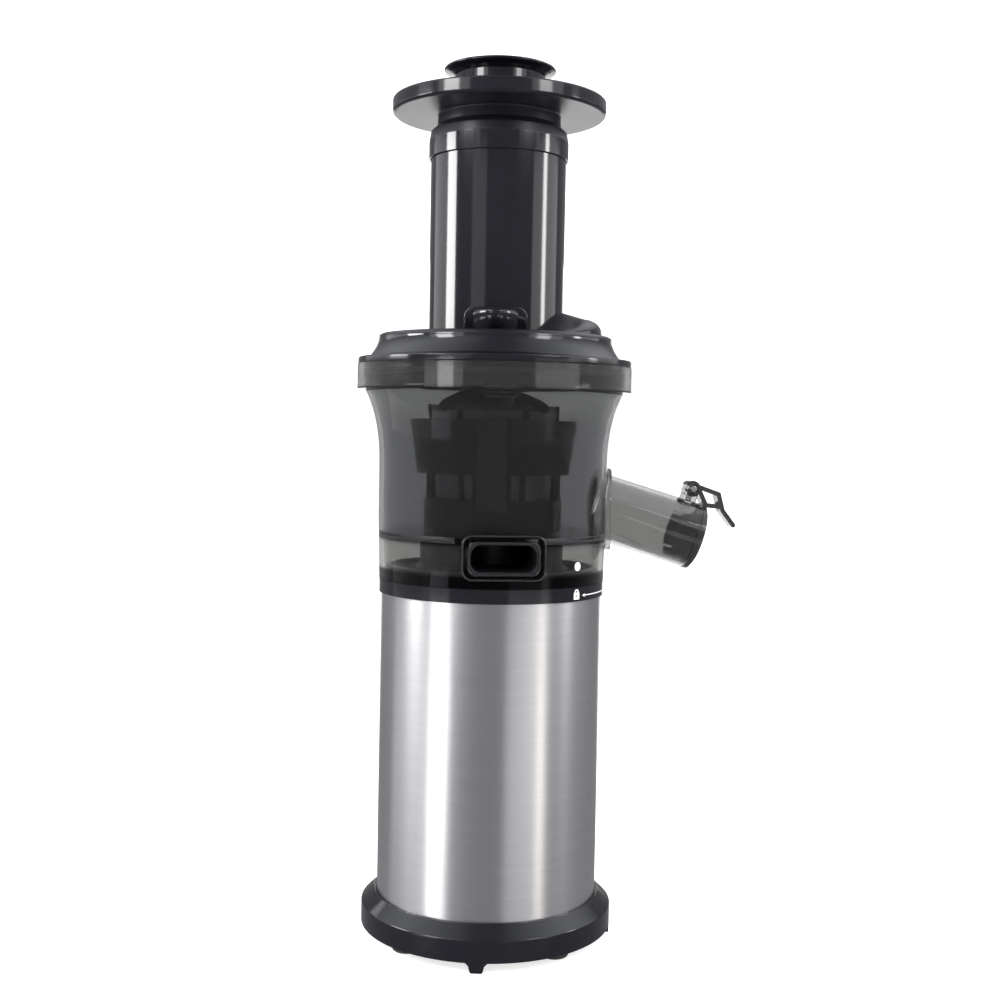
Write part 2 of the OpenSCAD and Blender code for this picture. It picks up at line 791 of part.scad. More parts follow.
module motor_end_cap() {
  color(black) difference() {
    union() {
      translate([0, 0, end_cap_z]) cylinder(r = motor_r, h = end_cap_h);
      translate([0, 0, end_cap_z - can_t]) cylinder(r = pilot_r, h = can_t + over);
      for (x = [-1, 1])
        translate([x * (commutator_r + motor_r - can_t) / 2, 0, motor_z - over])
          translate([-(motor_r - can_t - commutator_r) / 2 + 2 * over, -brush_w / 2 - can_t, 0])
            cube([motor_r - can_t - commutator_r - 3 * over, brush_w + 2 * can_t,
              commutator_l + over]);
    }
    translate([0, 0, end_cap_z]) cylinder(r = small_bearing_r + seat, h = small_bearing_w);
    translate([0, 0, end_cap_z - 2 * can_t])
      cylinder(r = motor_shaft_r + loose, h = end_cap_h + 4 * can_t);
    translate([0, 0, end_cap_z + small_bearing_w]) cylinder(r = commutator_r + over, h = end_cap_h);
    for (x = [-1, 1])
      translate([x * (commutator_r + motor_r) / 2 - (motor_r - commutator_r) / 2,
        -brush_w / 2 - seat, commutator_z + over - seat])
        cube([motor_r - commutator_r, brush_w + 2 * seat, brush_h + 2 * seat]);
  }
}

module stator_magnets() {
  for (a = [90, 270])
    color(rubber) translate([0, 0, rotor_z - 2 * over])
      sector(motor_r - can_t - magnet_t, motor_r - can_t - fit, rotor_l + 4 * over, a - 60, a + 60);
}

module carbon_brushes() {
  for (x = [-1, 1])
    color(rubber) translate([x > 0 ? commutator_r + fit : -motor_r + can_t + over, -brush_w / 2,
      commutator_z + over])
      cube([motor_r - can_t - over - commutator_r - fit, brush_w, brush_h]);
}

module motor_bearings() {
  color(steel) {
    translate([0, 0, motor_top_z + pilot_h - can_t - small_bearing_w])
      bearing_race(small_bearing_r, motor_shaft_r + fit, small_bearing_w);
    translate([0, 0, end_cap_z]) bearing_race(small_bearing_r, motor_shaft_r + fit, small_bearing_w);
  }
}

module motor_shaft() {
  color(steel) {
    translate([0, 0, end_cap_z - over]) cylinder(r = motor_shaft_r, h = gear_z - end_cap_z + 2 * over);
    translate([0, 0, gear_z]) outer_gear(sun_n, gear_m, gear_w);
  }
}

module rotor_core() {
  slot_w = rotor_r * 0.12;
  color(copper) difference() {
    translate([0, 0, rotor_z]) ring(rotor_r, motor_shaft_r + fit, rotor_l);
    around(12, rotor_r * 0.55) translate([0, -slot_w / 2, rotor_z - over])
      cube([rotor_r, slot_w, rotor_l + 2 * over]);
  }
}

module commutator() {
  color(copper) difference() {
    translate([0, 0, commutator_z]) ring(commutator_r, motor_shaft_r + fit, commutator_l);
    around(12, commutator_r - over) translate([0, -fit * 4, commutator_z - over])
      cube([2 * over, 8 * fit, commutator_l + 2 * over]);
  }
}

// Gearbox

module gearbox_damper() {
  rotate([0, 0, base_turn]) color(rubber) difference() {
    translate([0, 0, shelf_top_z]) ring(gearbox_flange_r - over, gearbox_r + 2 * loose, damper_t);
    around(4, gearbox_screw_reach, 45) translate([0, 0, shelf_top_z - over])
      cylinder(r = screw_r + seat, h = damper_t + 2 * over);
  }
}

module gearbox_housing() {
  inside_h = gearbox_top_z - gearbox_z - gearbox_floor_t;
  color(resin) difference() {
    union() {
      translate([0, 0, gearbox_z]) cylinder(r = gearbox_r, h = gearbox_top_z - gearbox_z);
      translate([0, 0, gearbox_top_z - gearbox_flange_t])
        cylinder(r = gearbox_flange_r, h = gearbox_flange_t);
    }
    translate([0, 0, gearbox_z - over]) cylinder(r = pilot_r + seat, h = gearbox_floor_t + 2 * over);
    translate([0, 0, gearbox_z + gearbox_floor_t]) rotate([0, 0, 180 / ring_n])
      ring_gear_space(ring_n, gear_m, inside_h + over);
    translate([0, 0, carrier_z - over])
      cylinder(r = ring_root_r + over / 2, h = gearbox_top_z - carrier_z + 2 * over);
    rotate([0, 0, base_turn]) around(4, gearbox_screw_reach, 45)
      translate([0, 0, gearbox_z - over]) cylinder(r = screw_r + seat, h = gearbox_top_z);
  }
}

module gearbox_cover() {
  color(resin) difference() {
    union() {
      translate([0, 0, gearbox_top_z]) cylinder(r = gearbox_flange_r, h = gearbox_cover_t);
      translate([0, 0, gearbox_top_z])
        cylinder(r = bearing_seat_r, h = gearbox_cover_t + over + bearing_w + over);
    }
    translate([0, 0, bearing_z]) cylinder(r = bearing_r + seat, h = bearing_w + 2 * over);
    translate([0, 0, gearbox_top_z - over])
      cylinder(r = shaft_r + over, h = gearbox_cover_t + 3 * over);
    rotate([0, 0, base_turn]) around(4, gearbox_screw_reach, 45)
      translate([0, 0, gearbox_top_z - over]) cylinder(r = screw_r + seat, h = gearbox_cover_t + 2 * over);
  }
}

module gearbox_screws() {
  rotate([0, 0, base_turn]) color(zinc) around(4, gearbox_screw_reach, 45)
    translate([0, 0, gearbox_top_z + gearbox_cover_t + screw_head_h]) mirror([0, 0, 1])
      screw(gearbox_screw_l);
}

module output_bearing() {
  color(steel) translate([0, 0, bearing_z]) bearing_race(bearing_r, shaft_r + fit, bearing_w);
}

module shaft_seal() {
  color(rubber) translate([0, 0, deck_low_z + seal_lip]) difference() {
    cylinder(r = seal_r, h = deck_t + hub_h - seal_lip);
    translate([0, 0, -over]) cylinder(r = shaft_r + fit, h = deck_t + hub_h + over);
    translate([0, 0, seal_lip]) cylinder(r = shaft_r + 2 * seal_lip, h = deck_t - seal_lip);
  }
}

module planet_gear(i) {
  a = 360 * i / planet_count;
  color(resin) translate([planet_reach * cos(a), planet_reach * sin(a), gear_z]) difference() {
    rotate([0, 0, 180 / planet_n]) outer_gear(planet_n, gear_m, gear_w);
    translate([0, 0, -over]) cylinder(r = planet_pin_r + fit, h = gear_w + 2 * over);
  }
}

module planet_pins() {
  color(steel) around(planet_count, planet_reach)
    translate([0, 0, gear_z - over / 2]) cylinder(r = planet_pin_r, h = carrier_z + carrier_t - gear_z);
}

module drive_carrier() {
  color(zinc) {
    difference() {
      translate([0, 0, carrier_z]) cylinder(r = carrier_r, h = carrier_t);
      around(planet_count, planet_reach) translate([0, 0, carrier_z - over])
        cylinder(r = planet_pin_r + fit / 2, h = carrier_t + 2 * over);
    }
    translate([0, 0, carrier_z]) cylinder(r = shaft_r, h = shaft_top_z - carrier_z);
    translate([0, 0, carrier_z]) cylinder(r = hex_af / sqrt(3), h = hex_top_z - carrier_z, $fn = 6);
  }
}

// Electrics

module control_board() {
  part_w = board_w / 4;
  rotate([0, 0, base_turn]) color(board) {
    translate([-board_w / 2, board_y, board_z]) cube([board_w, board_t, board_h - rail_t - over]);
    for (x = [-1, 1])
      translate([x * board_w / 4 - part_w / 2, board_y - part_w / 2, board_z + board_h / 3])
        cube([part_w, part_w / 2, part_w]);
  }
}

module switch_housing() {
  rotate([0, 0, base_turn]) color(black) difference() {
    union() {
      translate([-switch_w / 2, switch_y - switch_depth, switch_z - switch_h / 2])
        cube([switch_w, switch_depth, switch_h]);
      translate([0, switch_y, switch_z]) rotate([90, 0, 0])
        rounded_plate(switch_w + 2 * switch_frame_t, switch_h + 2 * switch_frame_t,
          switch_frame_t, switch_proud - seat);
    }
    translate([-rocker_w / 2 - loose, switch_y - switch_depth + switch_frame_t,
      switch_z - rocker_h / 2 - loose])
      cube([rocker_w + 2 * loose, switch_depth, rocker_h + 2 * loose]);
    translate([-switch_w / 2 + over, rocker_pivot_y, switch_z]) rotate([0, 90, 0])
      cylinder(r = rocker_pin_r + fit, h = switch_w - 2 * over);
  }
}

// The rocker's face is a shallow trough; its pivot pins turn in the frame's sides
module rocker_switch() {
  rotate([0, 0, base_turn]) color(black) {
    difference() {
      intersection() {
        translate([-rocker_w / 2, rocker_pivot_y - rocker_h / 4, switch_z - rocker_h / 2])
          cube([rocker_w, rocker_h / 4 + 6 * over, rocker_h]);
        translate([-rocker_w / 2 - over, rocker_pivot_y, switch_z]) rotate([0, 90, 0])
          cylinder(r = rocker_h / 2 - loose, h = rocker_w + 2 * over);
      }
      translate([-rocker_w / 2 - over, rocker_pivot_y + rocker_r + rocker_h / 4, switch_z])
        rotate([0, 90, 0]) cylinder(r = rocker_r, h = rocker_w + 2 * over);
    }
    translate([-switch_w / 2 + over + seat, rocker_pivot_y, switch_z]) rotate([0, 90, 0])
      cylinder(r = rocker_pin_r, h = switch_w - 2 * over - 2 * seat);
  }
}

module cord_gland() {
  rotate([0, 0, base_turn]) color(rubber)
    translate([0, base_r - base_wall - gland_flange - seat, gland_z]) rotate([-90, 0, 0]) difference() {
      union() {
        cylinder(r = gland_r + gland_flange / 2, h = gland_flange);
        cylinder(r = gland_r, h = gland_flange + base_wall + gland_l / 2);
        translate([0, 0, gland_flange + base_wall + gland_l / 2])
          cylinder(r1 = gland_r, r2 = gland_r * 0.7, h = gland_l / 2);
      }
      translate([0, 0, -over]) cylinder(r = gland_r * 0.5, h = gland_l + base_wall + 3 * over);
    }
}

// Juice bowl

function bowl_outline() = concat(
  [[skirt_r, bowl_z], [bowl_r, floor_z + bowl_depth * 0.1]],
  [for (i = [0:flare_steps]) let (z = waist_z + (collar_z - waist_z) * i / flare_steps)
    [flare(z), z]]
);
function bowl_inside() = concat(
  [for (i = [flare_steps:-1:0]) let (z = waist_z + (collar_z - waist_z) * i / flare_steps)
    [flare(z) - bowl_wall, z]],
  [[bowl_r - bowl_wall, floor_z]]
);

module outlet_block(w, h, from, to) {
  translate([0, -from, outlet_mid_z]) rotate([90, 0, 0])
    rounded_plate(w, h, min(outlet_corner, h / 2 - over / 2), to - from);
}

// The outlet's opening and the tunnel in it, a little below the frame's middle
module outlet_bore(w, h, from, to) {
  translate([0, 0, -outlet_drop]) outlet_block(w, h, from, to);
}

// A wall round the pulp slot, from the juice floor up to the strainer
module slot_shape(grow, z, h) {
  translate([0, 0, z]) sector(slot_r0 - grow, slot_r1 + grow, h,
    270 - slot_half - grow * 2, 270 + slot_half + grow * 2);
}

module spout_frame() {
  translate([spout_x, 0, spout_z]) rotate([0, spout_slope, 0]) children();
}

module juice_bowl() {
  color(smoke) difference() {
    union() {
      rotate_extrude() polygon(concat(
        bowl_outline(),
        [[collar_r, collar_z], [collar_r, rim_z], [collar_in_r, rim_z],
          [collar_in_r, collar_z + over]],
        bowl_inside(),
        [[neck_hole_r + seat, floor_z], [neck_hole_r + seat, floor_low_z],
          [skirt_r - bowl_wall, floor_low_z], [skirt_r - bowl_wall, bowl_z]]
      ));
      outlet_block(outlet_w, outlet_h, skirt_r - bowl_wall + over, outlet_y);
      slot_shape(slot_wall, floor_z - over, strainer_z - floor_z + over);
      rotate([0, 0, idler_angle]) translate([idler_reach, 0, floor_z - over])
        cylinder(r = idler_boss_r, h = idler_boss_h + over);
    }
    outlet_bore(outlet_w - 2 * outlet_wall, outlet_h - 2 * outlet_wall,
      skirt_r - bowl_wall - over, outlet_y + over);
    intersection() {
      outlet_bore(outlet_w - 2 * outlet_wall, outlet_h - 2 * outlet_wall, chute_r, skirt_r);
      translate([0, 0, bowl_z]) cylinder(r = outlet_y, h = floor_low_z - bowl_z);
    }
    slot_shape(0, floor_low_z - over, strainer_z - floor_low_z + 2 * over);
    rotate([0, 0, idler_angle]) translate([idler_reach, 0, floor_z - idler_pin_sink])
      cylinder(r = idler_pin_r + fit, h = idler_pin_sink + idler_boss_h + over);
    intersection() {
      spout_frame() translate([-bowl_r / 2, 0, 0]) rotate([0, 90, 0])
        cylinder(r = spout_r - spout_wall, h = bowl_r);
      translate([bowl_r / 2, -bowl_r, floor_z]) cube([bowl_r, 2 * bowl_r, bowl_depth]);
    }
  }
}

module juice_spout() {
  ear_y = lever_w / 2 + ear_gap;
  color(clear) difference() {
    union() {
      spout_frame() {
        translate([-spout_r, 0, 0]) rotate([0, 90, 0]) cylinder(r = spout_r, h = spout_l + spout_r);
        for (y = [-ear_y - ear_t, ear_y]) translate([cap_pin_x, y, 0]) {
          translate([0, ear_t, cap_pin_rise]) rotate([90, 0, 0]) cylinder(r = ear_r, h = ear_t);
          translate([-ear_r, 0, spout_r * 0.6]) cube([2 * ear_r, ear_t, cap_pin_rise - spout_r * 0.6]);
        }
      }
      intersection() {
        spout_frame() translate([-spout_r, 0, 0]) rotate([0, 90, 0])
          cylinder(r = spout_r + spout_flange, h = 2 * spout_r);
        cylinder(r = bowl_r + spout_flange_t, h = lid_z);
      }
    }
    rotate_extrude() polygon(concat([[0, bowl_z]], bowl_outline(), [[0, collar_z]]));
    spout_frame() translate([-spout_r * 2, 0, 0]) rotate([0, 90, 0])
      cylinder(r = spout_r - spout_wall, h = spout_l + spout_r * 3);
    spout_frame() translate([cap_pin_x, ear_y + ear_t + over, cap_pin_rise]) rotate([90, 0, 0])
      cylinder(r = cap_pin_r + fit / 2, h = 2 * (ear_y + ear_t + over));
  }
}

module pulp_chute() {
  tube_in = gasket_flange_r + 4 * seat;
  color(black) difference() {
    union() {
      translate([0, 0, chute_z]) cylinder(r = chute_r, h = floor_low_z - chute_z);
      translate([0, 0, chute_z])
        cylinder(r1 = chute_r + chute_flare, r2 = chute_r, h = chute_floor_t);
      intersection() {
        outlet_bore(tunnel_w, tunnel_h, chute_r / 2, skirt_r - bowl_wall + over);
        translate([0, 0, bowl_z]) cylinder(r = outlet_y, h = floor_low_z - bowl_z);
      }
      outlet_bore(tunnel_w, tunnel_h, skirt_r - bowl_wall - seat, outlet_y - over);
    }
    difference() {
      translate([0, 0, chute_z + chute_floor_t])
        cylinder(r = chute_r - chute_wall, h = floor_low_z - chute_z);
      translate([0, 0, chute_z]) cylinder(r = chute_tube_r, h = floor_low_z - chute_z);
    }
    translate([0, 0, chute_z - over]) cylinder(r = tube_in, h = floor_low_z - chute_z + 2 * over);
    outlet_bore(tunnel_w - 2 * tunnel_wall, tunnel_h - 2 * tunnel_wall, chute_r / 2 + over,
      outlet_y + over);
  }
}

module hub_gasket() {
  color(silicone) difference() {
    rotate_extrude() polygon([
      [auger_neck_r + fit, floor_low_z - gasket_flange_t],
      [gasket_flange_r, floor_low_z - gasket_flange_t], [gasket_flange_r, floor_low_z],
      [neck_hole_r, floor_low_z], [neck_hole_r, floor_z], [gasket_flange_r, floor_z],
      [gasket_flange_r, floor_z + gasket_flange_t], [auger_neck_r + fit, floor_z + gasket_flange_t]
    ]);
  }
}

module idler_pin() {
  color(steel) rotate([0, 0, idler_angle]) translate([idler_reach, 0, floor_z - idler_pin_sink + fit])
    cylinder(r = idler_pin_r, h = drive_top_z - floor_z + idler_pin_sink + 2 * over);
}

module idler_gear() {
  color(resin) rotate([0, 0, idler_angle]) translate([idler_reach, 0, drive_z]) difference() {
    outer_gear(idler_n, drive_m, drive_w);
    translate([0, 0, -over]) cylinder(r = idler_pin_r + fit, h = drive_w + 2 * over);
  }
}

// Three shallow dips in the strainer's upper rim
module rim_scallops() {
  around(scallop_count, 0, 263.5 + 180 / scallop_count)
    translate([0, 0, mesh_top_z - scallop_drop + scallop_r]) rotate([0, 90, 0])
      cylinder(r = scallop_r, h = mesh_r1 + 4 * over);
}

module strainer_frame() {
  rim_z0 = mesh_top_z - strainer_rim_h;
  color(black) difference() {
    union() {
      translate([0, 0, strainer_z]) cylinder(r = mesh_r0 + rib_t / 2, h = strainer_floor_t);
      intersection() {
        union() {
          around(rib_count, 0, 263.5 + 180 / rib_count)
            translate([0, -rib_w / 2, mesh_z - over])
              cube([mesh_r1 + rib_t + over, rib_w, mesh_h + over]);
          translate([0, 0, rim_z0]) cylinder(r = mesh_r1 + rib_t + over, h = strainer_rim_h);
        }
        translate([0, 0, strainer_z])
          cylinder(r1 = mesh_r(strainer_z) + rib_t, r2 = mesh_r1 + rib_t, h = mesh_top_z - strainer_z);
      }
    }
    translate([0, 0, mesh_z])
      cylinder(r1 = mesh_r0 + fit, r2 = mesh_r(mesh_top_z + over) + fit, h = mesh_h + over);
    translate([0, 0, strainer_z - over])
      cylinder(r = auger_waist_r + 2 * loose, h = strainer_floor_t + 2 * over);
    slot_shape(-slot_wall / 2, strainer_z - over, strainer_floor_t + 2 * over);
    rim_scallops();
  }
}

module strainer_mesh() {
  color(steel) difference() {
    translate([0, 0, mesh_z]) cylinder(r1 = mesh_r0, r2 = mesh_r1, h = mesh_h);
    translate([0, 0, mesh_z]) cylinder(r1 = mesh_r0 - mesh_t, r2 = mesh_r1 - mesh_t, h = mesh_h + fit);
    translate([0, 0, mesh_z - over]) cylinder(r = mesh_r0 - mesh_t, h = 2 * over);
    rim_scallops();
  }
}

// The wipers' outer strips lie in flat recesses of the cage: grow opens the recess to the outside
module wiper_strips(grow) {
  lean = (cage_r3 - cage_r2) / band_upper_h;
  around(cage_bar_count, 0, cage_bar_start)
    translate([0, strip_w / 2, 0]) rotate([90, 0, 0]) linear_extrude(height = strip_w) polygon(concat(
      [[cage_r0 - strip_t, strip_z]],
      grow > 0 ? [[cage_r3 + grow, strip_z], [cage_r3 + grow, cage_top + grow]]
        : [[cage_r1, strip_z], [cage_r1, upper_z], [cage_r2, upper_z], [cage_r3, cage_top]],
      [[cage_r3 - strip_t + lean * grow, cage_top + grow], [cage_r2 - strip_t + lean * strip_t,
        upper_z + strip_t], [cage_r0 - strip_t, upper_z + strip_t]]
    ));
}

module brush_cage() {
  color(black) difference() {
    union() {
      difference() {
        translate([0, 0, cage_z]) cylinder(r = cage_r0, h = band_lower_h);
        translate([0, 0, cage_z - over]) cylinder(r = brush_root_r + over, h = drive_z - cage_z + over);
        translate([0, 0, drive_z - fit]) rotate([0, 0, idler_angle])
          ring_gear_space(brush_n, drive_m, drive_w + 2 * fit);
        translate([0, 0, drive_top_z]) cylinder(r = cage_r0 - cage_wall, h = band_lower_h);
      }
      around(cage_bar_count, 0, cage_bar_start) translate([0, 0, band_z - over])
        sector(cage_r0 - cage_wall + seat, cage_r1, band_window_h + 2 * over,
          -cage_bar_angle / 2, cage_bar_angle / 2);
      rotate_extrude() polygon([
        [cage_r0 - cage_wall, upper_z], [cage_r2, upper_z], [cage_r3, cage_top],
        [cage_r3 - cage_wall, cage_top], [cage_r2 - cage_wall, upper_z + cage_wall],
        [cage_r0 - cage_wall, upper_z + cage_wall]
      ]);
    }
    around(cage_bar_count, cage_r0 - cage_wall - over, cage_bar_start)
      translate([0, -blade_t / 2, blade_low_z]) cube([cage_r3, blade_t, blade_high_z - blade_low_z]);
    wiper_strips(over);
  }
}

module wiper_blades() {
  blade_gap = rib_t + loose;
  out_high = cage_r2 + (cage_r3 - cage_r2) * (blade_high_z - upper_z) / band_upper_h;
  color(silicone) {
    wiper_strips(0);
    around(cage_bar_count, 0, cage_bar_start)
      translate([0, blade_t / 2, 0]) rotate([90, 0, 0]) linear_extrude(height = blade_t) polygon([
        [mesh_r(blade_low_z) + blade_gap, blade_low_z], [cage_r0 - strip_t / 2, blade_low_z],
        [cage_r0 - strip_t / 2, upper_z], [cage_r2 - strip_t / 2, upper_z],
        [out_high - strip_t / 2, blade_high_z], [mesh_r(blade_high_z) + blade_gap, blade_high_z]
      ]);
  }
}

module auger() {
  body_h = auger_top_z - auger_body_z;
  socket_h = hex_top_z - auger_z + 2 * loose;
  color(black) difference() {
    union() {
      translate([0, 0, auger_z]) cylinder(r = auger_neck_r, h = drive_z - auger_z + over);
      translate([0, 0, drive_z]) outer_gear(auger_n, drive_m, drive_w);
      translate([0, 0, drive_top_z]) cylinder(r = auger_waist_r, h = auger_body_z - drive_top_z + over);
      translate([0, 0, auger_body_z]) cylinder(r1 = auger_core_r0, r2 = auger_core_r1, h = body_h);
      translate([0, 0, auger_top_z - over]) cylinder(r = auger_pin_r * 1.6, h = 2 * over);
      translate([0, 0, auger_top_z]) cylinder(r = auger_pin_r, h = auger_pin_h);
      translate([0, 0, auger_body_z])
        linear_extrude(height = body_h - 2 * over, twist = -360 * auger_turns,
          slices = flight_slices, scale = flight_r1_share, $fn = 8)
          for (i = [0:flight_count - 1])
            rotate([0, 0, 360 * i / flight_count]) polygon([
              [over, -flight_t], [flight_r0 - over, -flight_t / 2], [flight_r0, 0],
              [flight_r0 - over, flight_t / 2], [over, flight_t]
            ]);
    }
    translate([0, 0, auger_z - over])
      cylinder(r = (hex_af + 2 * loose) / sqrt(3), h = socket_h + over, $fn = 6);
  }
}

// Spout cap, closed, in the spout's frame

module cap_pin() {
  pin_l = lever_w + 2 * ear_gap + 2 * ear_t;
  color(steel) spout_frame() translate([cap_pin_x, pin_l / 2, cap_pin_rise]) rotate([90, 0, 0])
    cylinder(r = cap_pin_r, h = pin_l);
}

module lever_run(x0, z0, x1, z1) {
  rotate([90, 0, 0]) translate([0, 0, -lever_w / 2]) linear_extrude(height = lever_w) hull() {
    translate([x0, z0]) circle(r = lever_t / 2, $fn = 20);
    translate([x1, z1]) circle(r = lever_t / 2, $fn = 20);
  }
}

module spout_cap() {
  elbow_x = cap_pin_x + cap_pin_back + cap_t + lever_t;
  elbow_z = cap_pin_rise + lever_rise * 0.4;
  face_x = spout_l + loose;
  color(smoke) spout_frame() difference() {
    union() {
      translate([face_x, 0, 0]) rotate([0, 90, 0]) cylinder(r = cap_r, h = cap_t);
      translate([face_x + cap_t - seat, 0, 0]) rotate([0, 90, 0])
        ring(cap_r * 0.9, cap_r * 0.8, cap_t * 0.5);
      difference() {
        translate([spout_l - plug_l, 0, 0]) rotate([0, 90, 0])
          ring(plug_r, plug_r - plug_wall, plug_l + loose);
        intersection() {
          translate([cap_pin_x, swing_half, cap_pin_rise]) rotate([90, 0, 0])
            cylinder(r = swing_r, h = 2 * swing_half);
          translate([0, -spout_r, 0]) cube([face_x, 2 * spout_r, cap_pin_rise]);
        }
      }
      translate([cap_pin_x, lever_w / 2, cap_pin_rise]) rotate([90, 0, 0])
        cylinder(r = knuckle_r, h = lever_w);
      lever_run(cap_pin_x + knuckle_r * 0.6, cap_pin_rise + knuckle_r - lever_t,
        elbow_x + lever_t, elbow_z);
      lever_run(elbow_x + lever_t, elbow_z, elbow_x + lever_reach * 0.45,
        elbow_z - lever_drop * 0.62);
      lever_run(elbow_x + lever_reach * 0.45, elbow_z - lever_drop * 0.62,
        elbow_x + lever_reach * 0.95, elbow_z - lever_drop * 1.08);
      lever_run(face_x + cap_t / 2 + lever_t * 0.4, spout_r, cap_pin_x + knuckle_r * 0.9, cap_pin_rise);
      lever_run(face_x + cap_t / 2, spout_r, elbow_x + lever_reach * 0.3, elbow_z - lever_drop * 0.5);
    }
    translate([cap_pin_x, lever_w / 2 + over, cap_pin_rise]) rotate([90, 0, 0])
      cylinder(r = cap_pin_r + fit, h = lever_w + 2 * over);
    translate([cap_pin_x - knuckle_r - over, -lever_w / 2 - over, cap_pin_rise - cap_pin_r * 0.75])
      cube([knuckle_r + over, lever_w + 2 * over, cap_pin_r * 1.5]);
    translate([spout_l - over, 0, 0]) rotate([0, 90, 0])
      ring(seal_r1 + seat, seal_r0 - seat, over + seal_t + seat);
    for (i = [0:plug_slots - 1])
      rotate([45 + 360 * i / plug_slots, 0, 0])
        translate([spout_l - plug_l - over, plug_r - plug_wall - over, -plug_wall])
          cube([plug_l * 0.6, plug_wall + 2 * over, 2 * plug_wall]);
  }
}

module cap_seal() {
  color(silicone) spout_frame() translate([spout_l + fit, 0, 0]) rotate([0, 90, 0])
    ring(seal_r1, seal_r0, seal_t);
}

// Lid

module lid_gasket() {
  color(silicone) translate([0, 0, gasket_z + seat])
    ring(collar_in_r - loose, collar_in_r - loose - gasket_t, gasket_h - 2 * seat);
}

function dome_outline() = [
  for (i = [0:dome_steps]) let (s = i / dome_steps)
    [dome_r1 + (dome_r0 - dome_r1) * pow(1 - s, 1 / dome_power), dome_z + (dome_h - over) * s]
];

// The raised ledge beside the tube: full height over its sweep, with a smooth ramp at each end
module ledge_ramp(way, run) {
  steps = 8;
  rotate([90, 0, 90]) linear_extrude(height = ledge_r + over) polygon(concat(
    [[-way * over, lid_z - over], [-way * over, lid_z + ledge_h]],
    [for (i = [0:steps]) let (s = i / steps)
      [way * run * s, lid_z + ledge_h * (1 + cos(180 * s)) / 2 - over / 2 * s]],
    [[way * run, lid_z - over]]
  ));
}

module ledge() {
  intersection() {
    union() {
      translate([0, 0, lid_z - over])
        sector(tube_r - over, ledge_r + over, ledge_h + over, ledge_full, ledge_to);
      rotate([0, 0, ledge_full]) ledge_ramp(-1, ledge_run);
      rotate([0, 0, ledge_to]) ledge_ramp(1, ledge_run * 0.8);
    }
    rotate_extrude() polygon([
      [tube_r - over / 2, lid_z - over], [ledge_r, lid_z - over], [ledge_r, lid_z + over],
      [ledge_r - over * 0.6, lid_z + ledge_h * 0.6], [ledge_r - 2 * over, lid_z + ledge_h * 0.85],
      [ledge_r - 4 * over, lid_z + ledge_h], [tube_r - over / 2, lid_z + ledge_h]
    ]);
  }
}

module front_boss(w, reach, h, corner) {
  intersection() {
    translate([0, -tube_r + over, lid_z - over]) rotate([90, 0, 0]) linear_extrude(height = tube_r)
      hull() {
        for (x = [-1, 1]) translate([x * (w / 2 - corner), h + over - corner]) circle(r = corner, $fn = 32);
        translate([-w / 2, 0]) square([w, over]);
      }
    translate([0, 0, lid_z - over]) cylinder(r = tube_r + reach, h = h + 3 * over);
  }
}

module lid() {
  skirt_in_r = lid_skirt_r - lid_skirt_t;
  color(black) rotate([0, 0, lid_turn]) difference() {
    union() {
      rotate_extrude() polygon(concat(
        [[lid_skirt_r, skirt_in_z], [lid_skirt_r, gasket_z - seat],
          [lid_skirt_r - groove_t, gasket_z - seat], [lid_skirt_r - groove_t, gasket_z + gasket_h + seat],
          [lid_skirt_r, gasket_z + gasket_h + seat], [lid_skirt_r, flange_z],
          [flange_r, flange_z], [flange_r, dome_z]],
        dome_outline(),
        [[dome_r1 - over, lid_z], [tube_r, lid_z], [tube_r, tube_top_z], [tube_in_r, tube_top_z],
          [tube_in_r, lid_z - lid_wall], [dome_r1 - 2 * lid_wall, lid_z - lid_wall],
          [skirt_in_r, dome_z], [skirt_in_r, skirt_in_z]]
      ));
      translate([-tube_in_r - over, -bridge_w / 2, lid_z - bridge_t])
        cube([2 * (tube_in_r + over), bridge_w, bridge_t]);
      translate([0, 0, bush_z]) cylinder(r = bush_boss_r, h = lid_z - bush_z);
      front_boss(boss_w, boss_t, boss_h, boss_corner);
      front_boss(boss_inner_w, boss_inner_t, boss_h - over, boss_corner);
      ledge();
    }
    translate([0, 0, bush_z - over]) cylinder(r = bush_r + seat, h = bush_h + over);
    for (a = window_places)
      translate([0, 0, skirt_in_z + over])
        sector(skirt_in_r - over, lid_skirt_r + over, window_h,
          a - lid_turn - window_angle / 2, a - lid_turn + window_angle / 2);
  }
}

module auger_bush() {
  color(bronze) translate([0, 0, bush_z]) ring(bush_r, auger_pin_r + fit, bush_h - seat);
}

// Tray and pusher

module food_tray() {
  floor_top = tray_z + tray_floor_t;
  collar_out = tube_r + loose + 0.8;
  color(black) rotate_extrude() polygon([
    [collar_out, tray_collar_z], [collar_out, tray_shoulder_z],
    [collar_out - tray_edge * 0.8, tray_neck_z - tray_edge],
    [tray_neck_r + tray_edge / 3, tray_neck_z + tray_edge], [tray_neck_r, tray_z],
    [tray_r - tray_edge, tray_z], [tray_r, tray_z + tray_edge], [tray_r, tray_rim_z - tray_edge / 2],
    [tray_r - tray_edge / 2, tray_rim_z], [tray_r - tray_wall, tray_rim_z],
    [tray_r - tray_wall - tray_edge, floor_top], [throat_r + tray_edge, floor_top],
    [throat_r, floor_top - tray_edge], [throat_r, tray_neck_z],
    [tube_r + loose, tray_shoulder_z], [tube_r + loose, tray_collar_z]
  ]);
}

